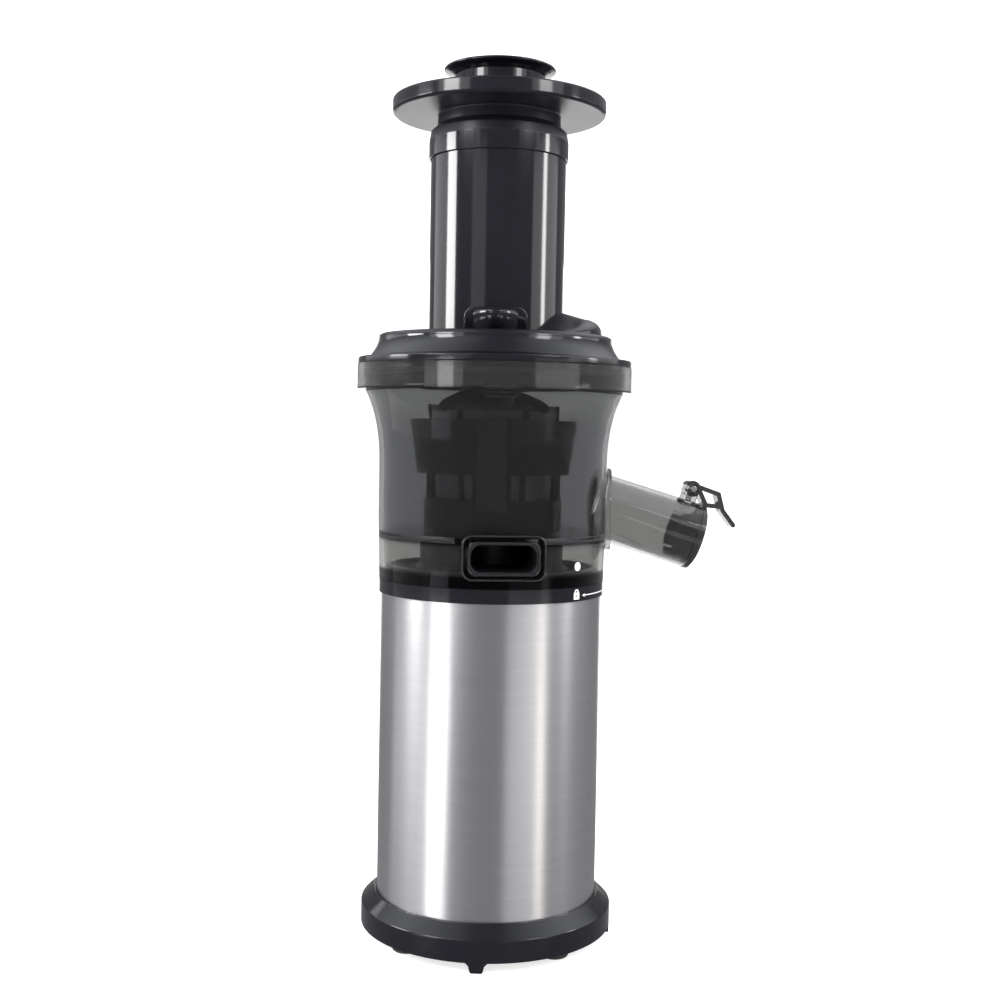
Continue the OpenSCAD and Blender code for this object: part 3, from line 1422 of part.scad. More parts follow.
module pusher() {
  color(black) rotate_extrude() polygon([
    [0, pusher_z], [pusher_r - tray_edge, pusher_z], [pusher_r, pusher_z + tray_edge],
    [pusher_r, pusher_shoulder_z], [neck_r, pusher_shoulder_z + pusher_shoulder_h],
    [neck_r, lip_z], [neck_r - pusher_wall, lip_z],
    [neck_r - pusher_wall, pusher_shoulder_z + pusher_shoulder_h],
    [pusher_r - pusher_wall, pusher_shoulder_z], [pusher_r - pusher_wall, pusher_z + pusher_wall],
    [0, pusher_z + pusher_wall]
  ]);
}

// The cap plugs into the neck; its lip flares out and its top is dished
module pusher_cap() {
  color(black) rotate_extrude() polygon([
    [0, lip_z - cap_top_t], [neck_r - pusher_wall - seat - cap_top_t, lip_z - cap_top_t],
    [neck_r - pusher_wall - seat - cap_top_t, lip_z - cap_plug_h],
    [neck_r - pusher_wall - seat, lip_z - cap_plug_h], [neck_r - pusher_wall - seat, lip_z],
    [neck_r, lip_z], [neck_r + (lip_r - neck_r) * 0.35, lip_z + lip_h * 0.3],
    [lip_r - tray_edge / 2, lip_z + lip_h * 0.52], [lip_r, lip_z + lip_h * 0.68],
    [lip_r - tray_edge / 2, lip_z + lip_h * 0.86], [lip_r - 3 * tray_edge, top_z],
    [lip_r - 5 * tray_edge, top_z - tray_edge], [neck_r * 0.4, lip_z + lip_h * 0.5],
    [0, lip_z + lip_h * 0.46]
  ]);
}

base_pan();
bottom_cover();
cover_screws();
rubber_feet();
inner_body();
steel_sleeve();
top_ring();
deck_screws();
motor_can();
motor_end_cap();
stator_magnets();
carbon_brushes();
motor_bearings();
gearbox_damper();
gearbox_housing();
gearbox_cover();
gearbox_screws();
output_bearing();
shaft_seal();
control_board();
switch_housing();
cord_gland();
rotor_core();
commutator();
motor_shaft();
planet_gear(0);  // planet_gear_a
planet_gear(1);  // planet_gear_b
planet_gear(2);  // planet_gear_c
planet_pins();
drive_carrier();
rocker_switch();
juice_bowl();
juice_spout();
pulp_chute();
hub_gasket();
idler_pin();
idler_gear();
strainer_frame();
strainer_mesh();
brush_cage();
wiper_blades();
auger();
cap_pin();
spout_cap();
cap_seal();
lid_gasket();
lid();
auger_bush();
food_tray();
pusher();
pusher_cap();
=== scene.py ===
import math
import bmesh
import bpy
from mathutils import Matrix, Vector


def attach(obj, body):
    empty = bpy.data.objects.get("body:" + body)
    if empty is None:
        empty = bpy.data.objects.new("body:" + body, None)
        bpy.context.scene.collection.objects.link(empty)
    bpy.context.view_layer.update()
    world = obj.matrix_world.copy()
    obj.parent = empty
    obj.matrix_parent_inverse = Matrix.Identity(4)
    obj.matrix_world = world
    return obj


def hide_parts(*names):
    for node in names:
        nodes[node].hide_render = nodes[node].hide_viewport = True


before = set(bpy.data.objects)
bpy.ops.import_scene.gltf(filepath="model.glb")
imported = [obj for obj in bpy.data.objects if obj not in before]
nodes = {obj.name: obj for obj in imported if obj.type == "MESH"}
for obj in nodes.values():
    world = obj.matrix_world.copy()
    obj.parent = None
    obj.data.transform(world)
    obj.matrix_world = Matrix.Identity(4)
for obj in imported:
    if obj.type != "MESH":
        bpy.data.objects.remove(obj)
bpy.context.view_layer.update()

# The camera stands in front of the juicer, a little left of the pulp outlet, about 0.26 m up,
# and looks slightly down. Distances are in metres and angles in degrees.
turn, yaw, pitch, roll = (math.radians(a) for a in (-6.5, -0.604, -2.98, 1.06))
forward = Vector((math.cos(pitch) * math.sin(yaw), math.cos(pitch) * math.cos(yaw), math.sin(pitch)))
level = Vector((math.cos(yaw), -math.sin(yaw), 0))
upright = level.cross(forward)
right = level * math.cos(roll) + upright * math.sin(roll)
upward = upright * math.cos(roll) - level * math.sin(roll)
stand = Matrix((right, upward, -forward)).transposed().to_4x4()
stand.translation = Vector((0.0116, -0.7088, 0.2613))
camera = bpy.data.objects.new("camera", bpy.data.cameras.new("camera"))
camera.data.sensor_width, camera.data.lens = 36, 36 * 1369 / 1001
camera.data.clip_start = 0.05
camera.matrix_world = Matrix.Rotation(turn, 4, "Z") @ stand
bpy.context.scene.collection.objects.link(camera)
bpy.context.scene.camera = camera

# Foot ring: gloss black plastic, injection moulded and polished, with faint ripple in the
# moulding and thin wiping marks in its gloss. Its edges are broken by a fine radius. Lengths are
# in millimetres where a piece is drawn, and MM turns them into metres.
MM = 0.001


class Shade:
    """A shader value that takes part in Python sums: with another value or a number they add
    Math nodes. node() adds any other node: its settings come first, then its sockets."""

    def __init__(self, tree, socket=None):
        self.tree, self.socket = tree, socket

    def node(self, kind, settings=None, sockets=None, out=0):
        made = self.tree.nodes.new("ShaderNode" + kind)
        for name, value in (settings or {}).items():
            setattr(made, name, value)
        for name, value in (sockets or {}).items():
            if isinstance(value, Shade):
                self.tree.links.new(value.socket, made.inputs[name])
            else:
                made.inputs[name].default_value = value
        return Shade(self.tree, made.outputs[out])

    def sum(self, operation, first, second=0.0):
        return self.node("Math", {"operation": operation}, {0: first, 1: second})

    def __add__(self, other):
        return self.sum("ADD", self, other)

    def __sub__(self, other):
        return self.sum("SUBTRACT", self, other)

    def __rsub__(self, other):
        return self.sum("SUBTRACT", other, self)

    def __mul__(self, other):
        return self.sum("MULTIPLY", self, other)

    def __truediv__(self, other):
        return self.sum("DIVIDE", self, other)

    __radd__, __rmul__ = __add__, __mul__

    def between(self, low, high):
        return self.node("MapRange", {}, {"Value": self, "From Min": low, "From Max": high})

    def mix(self, dark, light):
        return self.node("Mix", {"data_type": "RGBA"}, {"Factor": self, 6: (*dark, 1), 7: (*light, 1)}, 2)

    def noise(self, scale, detail=3.0, stretch=(1, 1, 1)):
        """Noise about scale spots to the metre of the object, drawn out by stretch."""
        where = self.node("TexCoord", {}, {}, 3)
        where = self.node("Mapping", {}, {"Vector": where, "Scale": stretch})
        return self.node("TexNoise", {}, {"Vector": where, "Scale": scale, "Detail": detail})

    def bump(self, height, strength, distance):
        return self.node("Bump", {}, {"Strength": strength, "Distance": distance, "Height": height})


def new_finish(name, **constants):
    """A material with its shader's steady values set, and a Shade to build the rest from."""
    made = bpy.data.materials.new(name)
    made.use_nodes = True
    shader = made.node_tree.nodes["Principled BSDF"]
    for socket, value in constants.items():
        shader.inputs[socket.replace("_", " ")].default_value = value

    def feed(socket, value):
        value.tree.links.new(value.socket, shader.inputs[socket])
    return made, Shade(made.node_tree), feed


def dress(material, radius, *names):
    """Gives CAD nodes a material and rounds their edges by radius millimetres."""
    for name in names:
        node = nodes[name]
        node.data.materials.clear()
        node.data.materials.append(material)
        if radius:
            weld = node.modifiers.new("weld", "WELD")
            weld.merge_threshold = 1e-6
            flat = node.modifiers.new("flat", "DECIMATE")
            flat.decimate_type, flat.angle_limit = "DISSOLVE", math.radians(0.3)
            edge = node.modifiers.new("edge", "BEVEL")
            edge.width, edge.segments, edge.limit_method = radius * MM, 3, "ANGLE"
            edge.angle_limit, edge.use_clamp_overlap = math.radians(32), True
            node.modifiers.new("shade", "WEIGHTED_NORMAL")


gloss_black, shade, feed = new_finish("gloss_black_plastic", IOR=1.5)
feed("Base Color", shade.noise(60).mix((0.0042, 0.0044, 0.0066), (0.0062, 0.0066, 0.0092)))
feed("Roughness", shade.noise(14, 4, (1, 1, 0.25)).between(0.35, 0.7) * 0.05 + 0.10)
feed("Normal", shade.bump(shade.noise(7, 2), 0.03, 0.001))


def finish_piece(work, name, material, body, slot, *replaced):
    """Turns mesh work into a piece that rides on a body, in smooth shading. The normals are
    brought up to date first, because turning faces outwards starts from them."""
    work.normal_update()
    bmesh.ops.recalc_face_normals(work, faces=work.faces)
    for face in work.faces:
        face.smooth = True
    made = bpy.data.objects.new(name, bpy.data.meshes.new(name))
    work.to_mesh(made.data)
    work.free()
    made.data.materials.append(material)
    bpy.context.scene.collection.objects.link(made)
    made.modifiers.new("shade", "WEIGHTED_NORMAL")
    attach(made, body)
    if replaced:
        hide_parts(*replaced)
    return made


def turned(name, outline, material, body, slot, *replaced):
    """A piece spun about the drive axis from an outline of (radius, height, corner radius) in
    millimetres."""
    work = bmesh.new()
    path = []
    for i, (reach, level, corner) in enumerate(outline):
        here = Vector((reach, level))
        before = (Vector(outline[i - 1][:2]) - here)
        after = (Vector(outline[(i + 1) % len(outline)][:2]) - here)
        if not corner:
            path.append(here)
            continue
        half = before.angle(after) / 2
        cut = min(corner / math.tan(half), before.length * 0.49, after.length * 0.49)
        start, end = here + before.normalized() * cut, here + after.normalized() * cut
        centre = here + (before.normalized() + after.normalized()).normalized() * (cut / math.cos(half))
        for k in range(6):
            way = (start - centre).lerp(end - centre, k / 5).normalized()
            path.append(centre + way * (cut * math.tan(half)))
    ring = [work.verts.new((p.x * MM, 0, p.y * MM)) for p in path]
    edges = [work.edges.new((a, b)) for a, b in zip(ring, ring[1:] + ring[:1])
             if max(a.co.x, b.co.x) > 1e-6]
    bmesh.ops.spin(work, geom=ring + edges, cent=(0, 0, 0), axis=(0, 0, 1), angle=2 * math.pi,
                   steps=160, use_merge=True)
    bmesh.ops.remove_doubles(work, verts=work.verts, dist=1e-6)
    bmesh.ops.dissolve_degenerate(work, edges=work.edges, dist=1e-7)
    return finish_piece(work, name, material, body, slot, *replaced)


turned("foot_ring", [
    (65, 5, 0.4), (65, 16, 1.1), (58.5, 22, 0.5), (57.1, 22, 0), (57.1, 18.5, 0), (15.5, 18.5, 0),
    (15.5, 15.5, 0), (62.4, 15.5, 0), (62.4, 5, 0.2)], gloss_black, "base", "gloss_black", "base_pan")

# Stub feet: four tapered tongues under the foot ring's wall, moulded in one with it in the same
# gloss black plastic. Their edges are rounded.


def soften(work, offset, segments):
    """Rounds every edge of a mesh."""
    bmesh.ops.bevel(work, geom=list(work.edges), offset=offset, segments=segments, profile=0.5,
                    affect="EDGES", material=-1)


def to_metres(work):
    bmesh.ops.scale(work, verts=work.verts, vec=(MM, MM, MM))


work = bmesh.new()
for k in range(4):
    way = math.radians(-9 + 90 * k)
    tongue = [(2.6, 0), (3.3, 0.8), (3.9, 3.5), (5.6, 5.2)]
    outline = [(-px, pz) for px, pz in reversed(tongue)] + tongue
    flat = [work.verts.new((60.7, px, pz)) for px, pz in outline]
    face = work.faces.new(flat)
    thick = bmesh.ops.extrude_face_region(work, geom=[face])["geom"]
    deep = [v for v in thick if isinstance(v, bmesh.types.BMVert)]
    bmesh.ops.translate(work, verts=deep, vec=(4.1, 0, 0))
    bmesh.ops.rotate(work, verts=flat + deep, matrix=Matrix.Rotation(way, 3, "Z"))
soften(work, 0.35, 2)
to_metres(work)
finish_piece(work, "stub_feet", gloss_black, "base", "gloss_black")

# Rubber feet: round and matt, moulded in black rubber, with stems that button into the bottom
# cover. They are a little dusty where they meet the worktop. Other dark pieces of the base share
# their look.
rubber, shade, feed = new_finish("black_rubber", IOR=1.45)
height = shade.node("SeparateXYZ", {}, {"Vector": shade.node("TexCoord", {}, {}, 3)}, 2)
dust = (1 - height.between(0.0, 0.002)) * 0.5 + shade.noise(500) * 0.5
feed("Base Color", dust.mix((0.012, 0.012, 0.012), (0.045, 0.044, 0.042)))
feed("Roughness", shade.noise(700) * 0.2 + 0.55)
dress(rubber, 0.5, "rubber_feet")
dress(rubber, 0, "gearbox_damper", "shaft_seal", "cord_gland", "stator_magnets", "carbon_brushes")

# Satin black plastic of the parts that aren't polished, with a fine moulded grain: the cover
# below, the body inside the sleeve, the switch frame and the motor's end cap.
satin_black, shade, feed = new_finish("satin_black_plastic", IOR=1.5)
feed("Base Color", shade.noise(400).mix((0.008, 0.0083, 0.011), (0.014, 0.0146, 0.018)))
feed("Roughness", shade.noise(900) * 0.2 + 0.3)
feed("Normal", shade.bump(shade.noise(2600), 0.1, 0.0004))
dress(satin_black, 0.3, "bottom_cover", "switch_housing", "motor_end_cap")
dress(satin_black, 0, "inner_body")

# Steel sleeve: stainless sheet rolled into a tube and brushed round it. Thousands of short level
# scratches draw its highlights out upwards.
brushed, shade, feed = new_finish("brushed_stainless", Metallic=1.0, Anisotropic=0.8,
                                  Anisotropic_Rotation=0.25)
place = shade.node("SeparateXYZ", {}, {"Vector": shade.node("TexCoord", {}, {}, 3)})
x, y, z = (Shade(shade.tree, place.socket.node.outputs[i]) for i in range(3))
around = shade.sum("ARCTAN2", y, x)
strip = shade.node("CombineXYZ", {}, {0: around * 1.2, 1: z * 2200})
scratch = shade.node("TexNoise", {}, {"Vector": strip, "Scale": 2.0, "Detail": 6.0, "Roughness": 0.75})
strip = shade.node("CombineXYZ", {}, {0: around * 0.5, 1: z * 260})
broad = shade.node("TexNoise", {}, {"Vector": strip, "Scale": 1.5, "Detail": 3.0})
streaks = (scratch * 0.6 + broad * 0.4).between(0.3, 0.7)
feed("Base Color", streaks.mix((0.645, 0.64, 0.65), (0.735, 0.73, 0.74)))
feed("Roughness", scratch * 0.12 + 0.24)
feed("Normal", shade.bump(scratch, 0.08, 0.0002))
dress(brushed, 0, "steel_sleeve")

# Deck ring of the base: moulded in gloss black plastic and screwed to the inner body. The lock
# mark and its arrow are printed on its band in white ink.
dress(gloss_black, 0, "top_ring")
ink, shade, feed = new_finish("white_ink", IOR=1.5)
feed("Base Color", shade.noise(900).mix((0.80, 0.80, 0.80), (0.92, 0.92, 0.92)))
feed("Roughness", shade.noise(500) * 0.2 + 0.35)


def print_on(name, outlines, angle, level, radius, body):
    """Flat shapes in millimetres, wrapped on an upright cylinder at an angle and height."""
    work = bmesh.new()
    for outline in outlines:
        flat = [work.verts.new((px, 0, pz)) for px, pz in outline]
        face = work.faces.new(flat)
        thick = bmesh.ops.extrude_face_region(work, geom=[face])["geom"]
        deep = [v for v in thick if isinstance(v, bmesh.types.BMVert)]
        bmesh.ops.translate(work, verts=deep, vec=(0, 0.08, 0))
    for vert in work.verts:
        px, pz = vert.co.x, vert.co.z
        reach, way = radius + vert.co.y - 0.02, math.radians(angle + math.degrees(px / radius))
        vert.co = Vector((reach * math.cos(way), reach * math.sin(way), level + pz)) * MM
    return finish_piece(work, name, ink, body, "white_resin")


def arc(cx, cz, r, start, end, steps):
    return [(cx + r * math.cos(math.radians(start + (end - start) * i / steps)),
             cz + r * math.sin(math.radians(start + (end - start) * i / steps))) for i in range(steps + 1)]


shackle = [arc(0, 0.8, 1.5, 0, 180, 12) + arc(0, 0.8, 0.85, 180, 0, 12)]
lock_body = [[(x0, z0), (x1, z0), (x1, z1), (x0, z1)] for x0, x1, z0, z1 in (
    (-2, -0.4, -2.7, 0.7), (0.4, 2, -2.7, 0.7), (-0.4, 0.4, -2.7, -1.6), (-0.4, 0.4, -0.3, 0.7))]
shaft = [[(2 + k, -0.22), (3 + k, -0.22), (3 + k, 0.22), (2 + k, 0.22)] for k in range(24)]
print_on("lock_mark", shackle + lock_body, 310.7, 181.2, 58.25, "base")
print_on("arrow_mark", [[(0, 0), (2.2, -0.8), (2.2, 0.8)]] + shaft, 315.1, 180.2, 58.25, "base")

# Plated steel, with cloudy zinc: the screws of the bottom cover, the deck and the gearbox, and
# the can that the motor is built in.
zinc, shade, feed = new_finish("zinc_plate", Metallic=1.0)
feed("Base Color", shade.noise(150).mix((0.45, 0.46, 0.48), (0.58, 0.59, 0.62)))
feed("Roughness", shade.noise(500) * 0.2 + 0.25)
dress(zinc, 0.25, "cover_screws", "deck_screws", "motor_can", "gearbox_screws")

# Ground steel, with fine turning marks: the motor's shaft, the planets' pins, the drive carrier
# with its shaft, the pins of the idler and the spout cap, and the bearings.
bright, shade, feed = new_finish("bright_steel", Metallic=1.0)
feed("Base Color", shade.noise(200).mix((0.6, 0.6, 0.61), (0.7, 0.7, 0.71)))
feed("Roughness", shade.noise(1800, 3, (0.05, 0.05, 1)) * 0.15 + 0.15)
dress(bright, 0.25, "motor_shaft", "planet_pins", "drive_carrier", "idler_pin", "cap_pin")
dress(bright, 0, "motor_bearings", "output_bearing")

# Pieces inside: the rotor's copper windings and commutator, the gearbox, planets and idler moulded
# in white resin, the lid's bush of sintered bronze, and the green circuit board behind the switch.
copper, shade, feed = new_finish("copper_windings", Metallic=1.0)
feed("Base Color", shade.noise(900, 2, (1, 1, 0.1)).mix((0.5, 0.22, 0.12), (0.7, 0.36, 0.2)))
feed("Roughness", shade.noise(600) * 0.2 + 0.3)
dress(copper, 0, "rotor_core", "commutator")
resin, shade, feed = new_finish("white_resin", IOR=1.5)
feed("Base Color", shade.noise(300).mix((0.7, 0.68, 0.6), (0.78, 0.76, 0.68)))
feed("Roughness", shade.noise(500) * 0.15 + 0.35)
dress(resin, 0, "gearbox_housing", "gearbox_cover", "planet_gear_a", "planet_gear_b", "planet_gear_c",
      "idler_gear")
bronze, shade, feed = new_finish("sintered_bronze", Metallic=1.0)
feed("Base Color", shade.noise(1500).mix((0.36, 0.24, 0.1), (0.48, 0.34, 0.16)))
feed("Roughness", shade.noise(1500) * 0.2 + 0.35)
dress(bronze, 0, "auger_bush")
board, shade, feed = new_finish("circuit_board", IOR=1.5)
feed("Base Color", shade.noise(700).between(0.45, 0.55).mix((0.01, 0.09, 0.04), (0.02, 0.14, 0.06)))
feed("Roughness", shade.noise(500) * 0.2 + 0.3)
dress(board, 0, "control_board")

# Rocker switch at the back: moulded in gloss black plastic. It tips on its pivot pins in the
# switch frame.
dress(gloss_black, 0.4, "rocker_switch")

# Juice bowl: moulded in clear plastic with a smoke-grey tint, with a white dot printed on it that
# meets the lock mark. Its skirt, floor and outlet frame are thicker, so they let less light
# through than its wall.
smoke, shade, feed = new_finish("smoke_clear_plastic", IOR=1.46, Transmission_Weight=0.977,
                                 Specular_Tint=(0.12, 0.12, 0.13, 1), Coat_Roughness=0.08)
place = shade.node("SeparateXYZ", {}, {"Vector": shade.node("TexCoord", {}, {}, 3)})
y, height = (Shade(shade.tree, place.socket.node.outputs[i]) for i in (1, 2))
mouth = (0 - y).between(0.0597, 0.0602) * (1 - height.between(0.2125, 0.2140))
skirt = 1 - height.between(0.1895, 0.1915)
floor_band = height.between(0.2045, 0.2060) * (1 - height.between(0.2085, 0.2095))
shut = skirt + floor_band
shut = shade.sum("MAXIMUM", shut, mouth)
under_floor = height.between(0.1895, 0.1915) * (1 - height.between(0.203, 0.205))
open_zone = under_floor + height.between(0.262, 0.274) * 0.4
tint = shade.noise(30).mix((0.21, 0.212, 0.216), (0.23, 0.232, 0.237))
tint = shade.node("Mix", {"data_type": "RGBA"}, {"Factor": open_zone, 6: tint, 7: (0.32, 0.325, 0.315, 1)}, 2)
tint = shade.node("Mix", {"data_type": "RGBA"}, {"Factor": shut, 6: tint, 7: (0.03, 0.03, 0.032, 1)}, 2)
feed("Base Color", tint)
feed("Coat Weight", height.between(0.2795, 0.2815) * 0.7)
feed("Roughness", shade.noise(50).between(0.4, 0.8) * 0.03 + 0.03)
dress(smoke, 0.5, "juice_bowl")
print_on("dot_mark", [arc(0, 0, 2.1, 0, 345, 23)], 310.4, 194.8, 58.78, "bowl")

# Rim of the pulp outlet: two thin beads of a darker clear plastic, moulded round its mouth as
# rounded rectangles. They catch the light.


def loft(work, rings, closed=False):
    """Joins like rings of vertices one after another, and closes the ends or the round."""
    pairs = zip(rings, rings[1:] + rings[:1]) if closed else zip(rings, rings[1:])
    for a, b in pairs:
        for i in range(len(a)):
            work.faces.new((a[i], b[i], b[(i + 1) % len(a)], a[(i + 1) % len(a)]))
    if not closed:
        work.faces.new(rings[0])
        work.faces.new(rings[-1])


def bead(name, width, tall, corner, thick, depth, level):
    work = bmesh.new()
    path = []
    for cx, cz, start in ((1, 1, 0), (-1, 1, 90), (-1, -1, 180), (1, -1, 270)):
        for i in range(9):
            way = math.radians(start + 90 * i / 8)
            path.append((cx * (width / 2 - corner), cz * (tall / 2 - corner), way, corner))
    rings = []
    for cx, cz, way, reach in path:
        ring = []
        for k in range(10):
            wrap = 2 * math.pi * k / 10
            out = reach + thick * math.cos(wrap)
            spot = Vector((cx + out * math.cos(way), depth - thick * math.sin(wrap),
                           level + cz + out * math.sin(way)))
            ring.append(work.verts.new(spot * MM))
        rings.append(ring)
    loft(work, rings, closed=True)
    return finish_piece(work, name, dark_smoke, "bowl", "smoke_clear")


dark_smoke, shade, feed = new_finish("dark_smoke_plastic", IOR=1.5, Transmission_Weight=0.6)
feed("Base Color", shade.noise(30).mix((0.03, 0.03, 0.032), (0.045, 0.045, 0.048)))
feed("Roughness", shade.noise(50).between(0.4, 0.8) * 0.04 + 0.05)
bead("outlet_rim_outer", 39.6, 21.0, 4.4, 0.45, -62.3, 200.1)
bead("outlet_rim_inner", 34.0, 15.4, 3.4, 0.4, -62.3, 199.7)

# Lock rib: a trapezoid tab under the front of the bowl's collar, bent to its wall and moulded in
# the same dark plastic as the outlet's beads.


def around_axis(radius, degree, height):
    """A point in metres on a circle about the drive axis."""
    way = math.radians(degree)
    return radius * math.cos(way) * MM, radius * math.sin(way) * MM, height * MM


work = bmesh.new()
rings = []
for i in range(25):
    share = i / 24
    drop = min(1, 6 * share, 6 * (1 - share))
    section = ((61.2, 280.3), (64.6, 280.3), (64.6, 279.2 - 2.6 * drop), (64.2, 278.9 - 2.7 * drop),
               (61.2, 278.9 - 2.7 * drop))
    rings.append([work.verts.new(around_axis(r, 259 + 16.5 * share, h)) for r, h in section])
loft(work, rings)
finish_piece(work, "collar_rib", dark_smoke, "bowl", "smoke_clear")

# Pulp chute, auger and the strainer's ribs: moulded in satin black plastic. The brush cage that
# turns round the strainer has the gloss of the foot ring.
dress(satin_black, 0.4, "pulp_chute")
dress(gloss_black, 0.5, "brush_cage")
dress(satin_black, 0.3, "auger", "strainer_frame")

# Strainer: thin sheet steel with rows of small round holes in it, each row half a step on from
# the last. Its frame's ribs hold it.
sieve, shade, feed = new_finish("perforated_steel", Metallic=1.0)
place = shade.node("SeparateXYZ", {}, {"Vector": shade.node("TexCoord", {}, {}, 3)})
x, y, z = (Shade(shade.tree, place.socket.node.outputs[i]) for i in range(3))
row = z / 0.0011
shift = shade.sum("MULTIPLY", shade.sum("MODULO", shade.sum("FLOOR", row), 2.0), 0.5)
step = shade.sum("ARCTAN2", y, x) * 28.0 + shift
dx = shade.sum("FRACT", step) - 0.5
dz = shade.sum("FRACT", row) - 0.5
away = shade.sum("SQRT", dx * dx + dz * dz)
hole = away.between(0.18, 0.26)
feed("Base Color", hole.mix((0.02, 0.02, 0.02), (0.20, 0.20, 0.205)))
feed("Roughness", shade.noise(600) * 0.2 + 0.25)
feed("Alpha", hole)
dress(sieve, 0, "strainer_mesh")

# Wipers and seals, moulded in soft grey silicone: the blades of the brush cage, and the seals of
# the bowl's hub, the spout cap and the lid.
silicone, shade, feed = new_finish("grey_silicone", IOR=1.42)
feed("Base Color", shade.noise(300).mix((0.09, 0.09, 0.095), (0.13, 0.13, 0.135)))
feed("Roughness", shade.noise(600) * 0.15 + 0.35)
dress(silicone, 0.2, "wiper_blades")
dress(silicone, 0, "hub_gasket", "cap_seal", "lid_gasket")

# Juice spout: a tube of paler clear plastic, welded to the bowl. The dark flip cap with its thumb
# lever turns on a steel pin.
pale, shade, feed = new_finish("pale_clear_plastic", IOR=1.46, Transmission_Weight=1.0)
feed("Base Color", shade.noise(30).mix((0.31, 0.31, 0.305), (0.34, 0.34, 0.335)))
feed("Roughness", shade.noise(50).between(0.4, 0.8) * 0.03 + 0.03)
dress(pale, 0.4, "juice_spout")
dress(dark_smoke, 0.35, "spout_cap")

# Lid: the dome and the tall feed tube, moulded in one in gloss black plastic. It locks in the
# bowl's collar with a turn.
turned("lid_shell", [
    (66.6, 293.3, 0.3), (70.5, 293.3, 0.4), (70.5, 296.8, 1.0)] + [
    (60 + 5.2 * (1 - k / 8) ** 2, 296.8 + 11.0 * k / 8, 0) for k in range(9)] + [
    (58.6, 308.8, 0.8), (34.5, 308.8, 0.9), (34.5, 405.5, 0.6), (31.7, 405.5, 0.6), (31.7, 306.2, 0.6),
    (54.8, 306.2, 1.0), (64.4, 296.8, 0.5), (64.4, 293.3, 0)], gloss_black, "lid", "gloss_black", "lid")

# Lid skirt: it reaches down inside the bowl's collar, between seven open windows, and carries the
# gasket's groove. The bridge under the feed tube holds the auger's bush. The bridge, the ledge and
# the front boss are turned a little from the object's front, by BOSS_TURN degrees.
BOSS_TURN = -5.7
skirt = [(66.6, 288.0, 0.2), (65.2, 288.0, 0), (65.2, 290.6, 0), (66.6, 290.6, 0.2), (66.6, 293.4, 0),
         (64.4, 293.4, 0), (64.4, 286.9, 0), (66.6, 286.9, 0.2)]
turned("lid_skirt", skirt, gloss_black, "lid", "gloss_black")
windows = (36, 88, 128, 160, 216.5, 308.5, 325)
work = bmesh.new()
for k, window in enumerate(windows):
    start, end = window + 6, windows[(k + 1) % len(windows)] - 6 + (360 if k + 1 == len(windows) else 0)
    steps = max(3, int((end - start) / 3))
    rings = []
    for i in range(steps + 1):
        rings.append([work.verts.new(around_axis(r, start + (end - start) * i / steps, h))
                      for r, h in ((66.6, 282.5), (66.6, 287.0), (64.4, 287.0), (64.4, 282.5))])
    loft(work, rings)
finish_piece(work, "lid_skirt_feet", gloss_black, "lid", "gloss_black")
work = bmesh.new()
bmesh.ops.create_cube(work, size=1)
bmesh.ops.scale(work, verts=work.verts, vec=(65.0, 9, 6))
bmesh.ops.translate(work, verts=work.verts, vec=(0, 0, 305.8))
soften(work, 0.8, 3)
bmesh.ops.rotate(work, verts=work.verts, matrix=Matrix.Rotation(math.radians(BOSS_TURN), 3, "Z"))
to_metres(work)
finish_piece(work, "lid_bridge", gloss_black, "lid", "gloss_black")
turned("bush_holder", [(6.1, 297.8, 0), (8.5, 297.8, 0.6), (8.5, 304, 0), (6.1, 304, 0)],
       gloss_black, "lid", "gloss_black")

# Ledge beside the feed tube, moulded with the lid in gloss black plastic. It has its full height
# over its sweep, and a smooth ramp at each end.
work = bmesh.new()
rings = []
for i in range(73):
    degree = -58 + (128 + 58) * i / 72
    rise = min(1, max(0, (degree + 58) / 40)) if degree < 40 else min(1, max(0, (128 - degree) / 32))
    lift = 12.5 * (1 - math.cos(math.pi * rise)) / 2
    corner = lift * 0.6
    section = [(33.5, 308.0), (55, 308.0)]
    for a in range(0, 91, 15):
        bend = math.radians(a)
        section.append((55 - corner * (1 - math.cos(bend)), 308.8 + lift * 0.08 + corner * math.sin(bend)))
    section += [(33.5, 308.8 + lift)]
    rings.append([work.verts.new(around_axis(r, degree + BOSS_TURN, h)) for r, h in section])
loft(work, rings)
finish_piece(work, "lid_ledge", gloss_black, "lid", "gloss_black")

# Front boss, moulded with the lid in gloss black plastic: an arch stands out of the feed tube's
# foot, with a thicker rounded block inside it.


def arch(name, width, base, bulge, top, corner, edge):
    """An upright tongue of a width, as deep as base and bulge give, with a rounded top."""
    work = bmesh.new()
    columns = []
    half = width / 2
    for i in range(49):
        px = half * math.sin(math.pi * (i / 48 - 0.5))
        inside = half - abs(px)
        drop = corner - math.sqrt(max(0, corner * corner - max(0, corner - inside) ** 2))
        nose = math.cos(math.pi / 2 * min(1, abs(px) / (half - edge)))
        turn_in = max(0, abs(px) - half + edge) / edge
        front = -base - bulge * nose + edge * (1 - math.sqrt(max(0, 1 - turn_in ** 2)))
        high = top - drop
        section = [(px, front, 308.2)]
        for a in (0, 30, 60, 90):
            bend = math.radians(a)
            section.append((px, front + edge * (1 - math.cos(bend)), high - edge * (1 - math.sin(bend))))
        section += [(px, -32, high), (px, -32, 308.2)]
        columns.append([work.verts.new(spot) for spot in section])
    loft(work, columns)
    bmesh.ops.rotate(work, verts=work.verts, matrix=Matrix.Rotation(math.radians(BOSS_TURN), 3, "Z"))
    to_metres(work)
    return finish_piece(work, name, gloss_black, "lid", "gloss_black")


arch("boss_arch", 31.0, 39.5, 1.5, 320.8, 5.0, 1.0)
arch("boss_block", 24.6, 39.5, 9.0, 319.0, 4.0, 1.0)

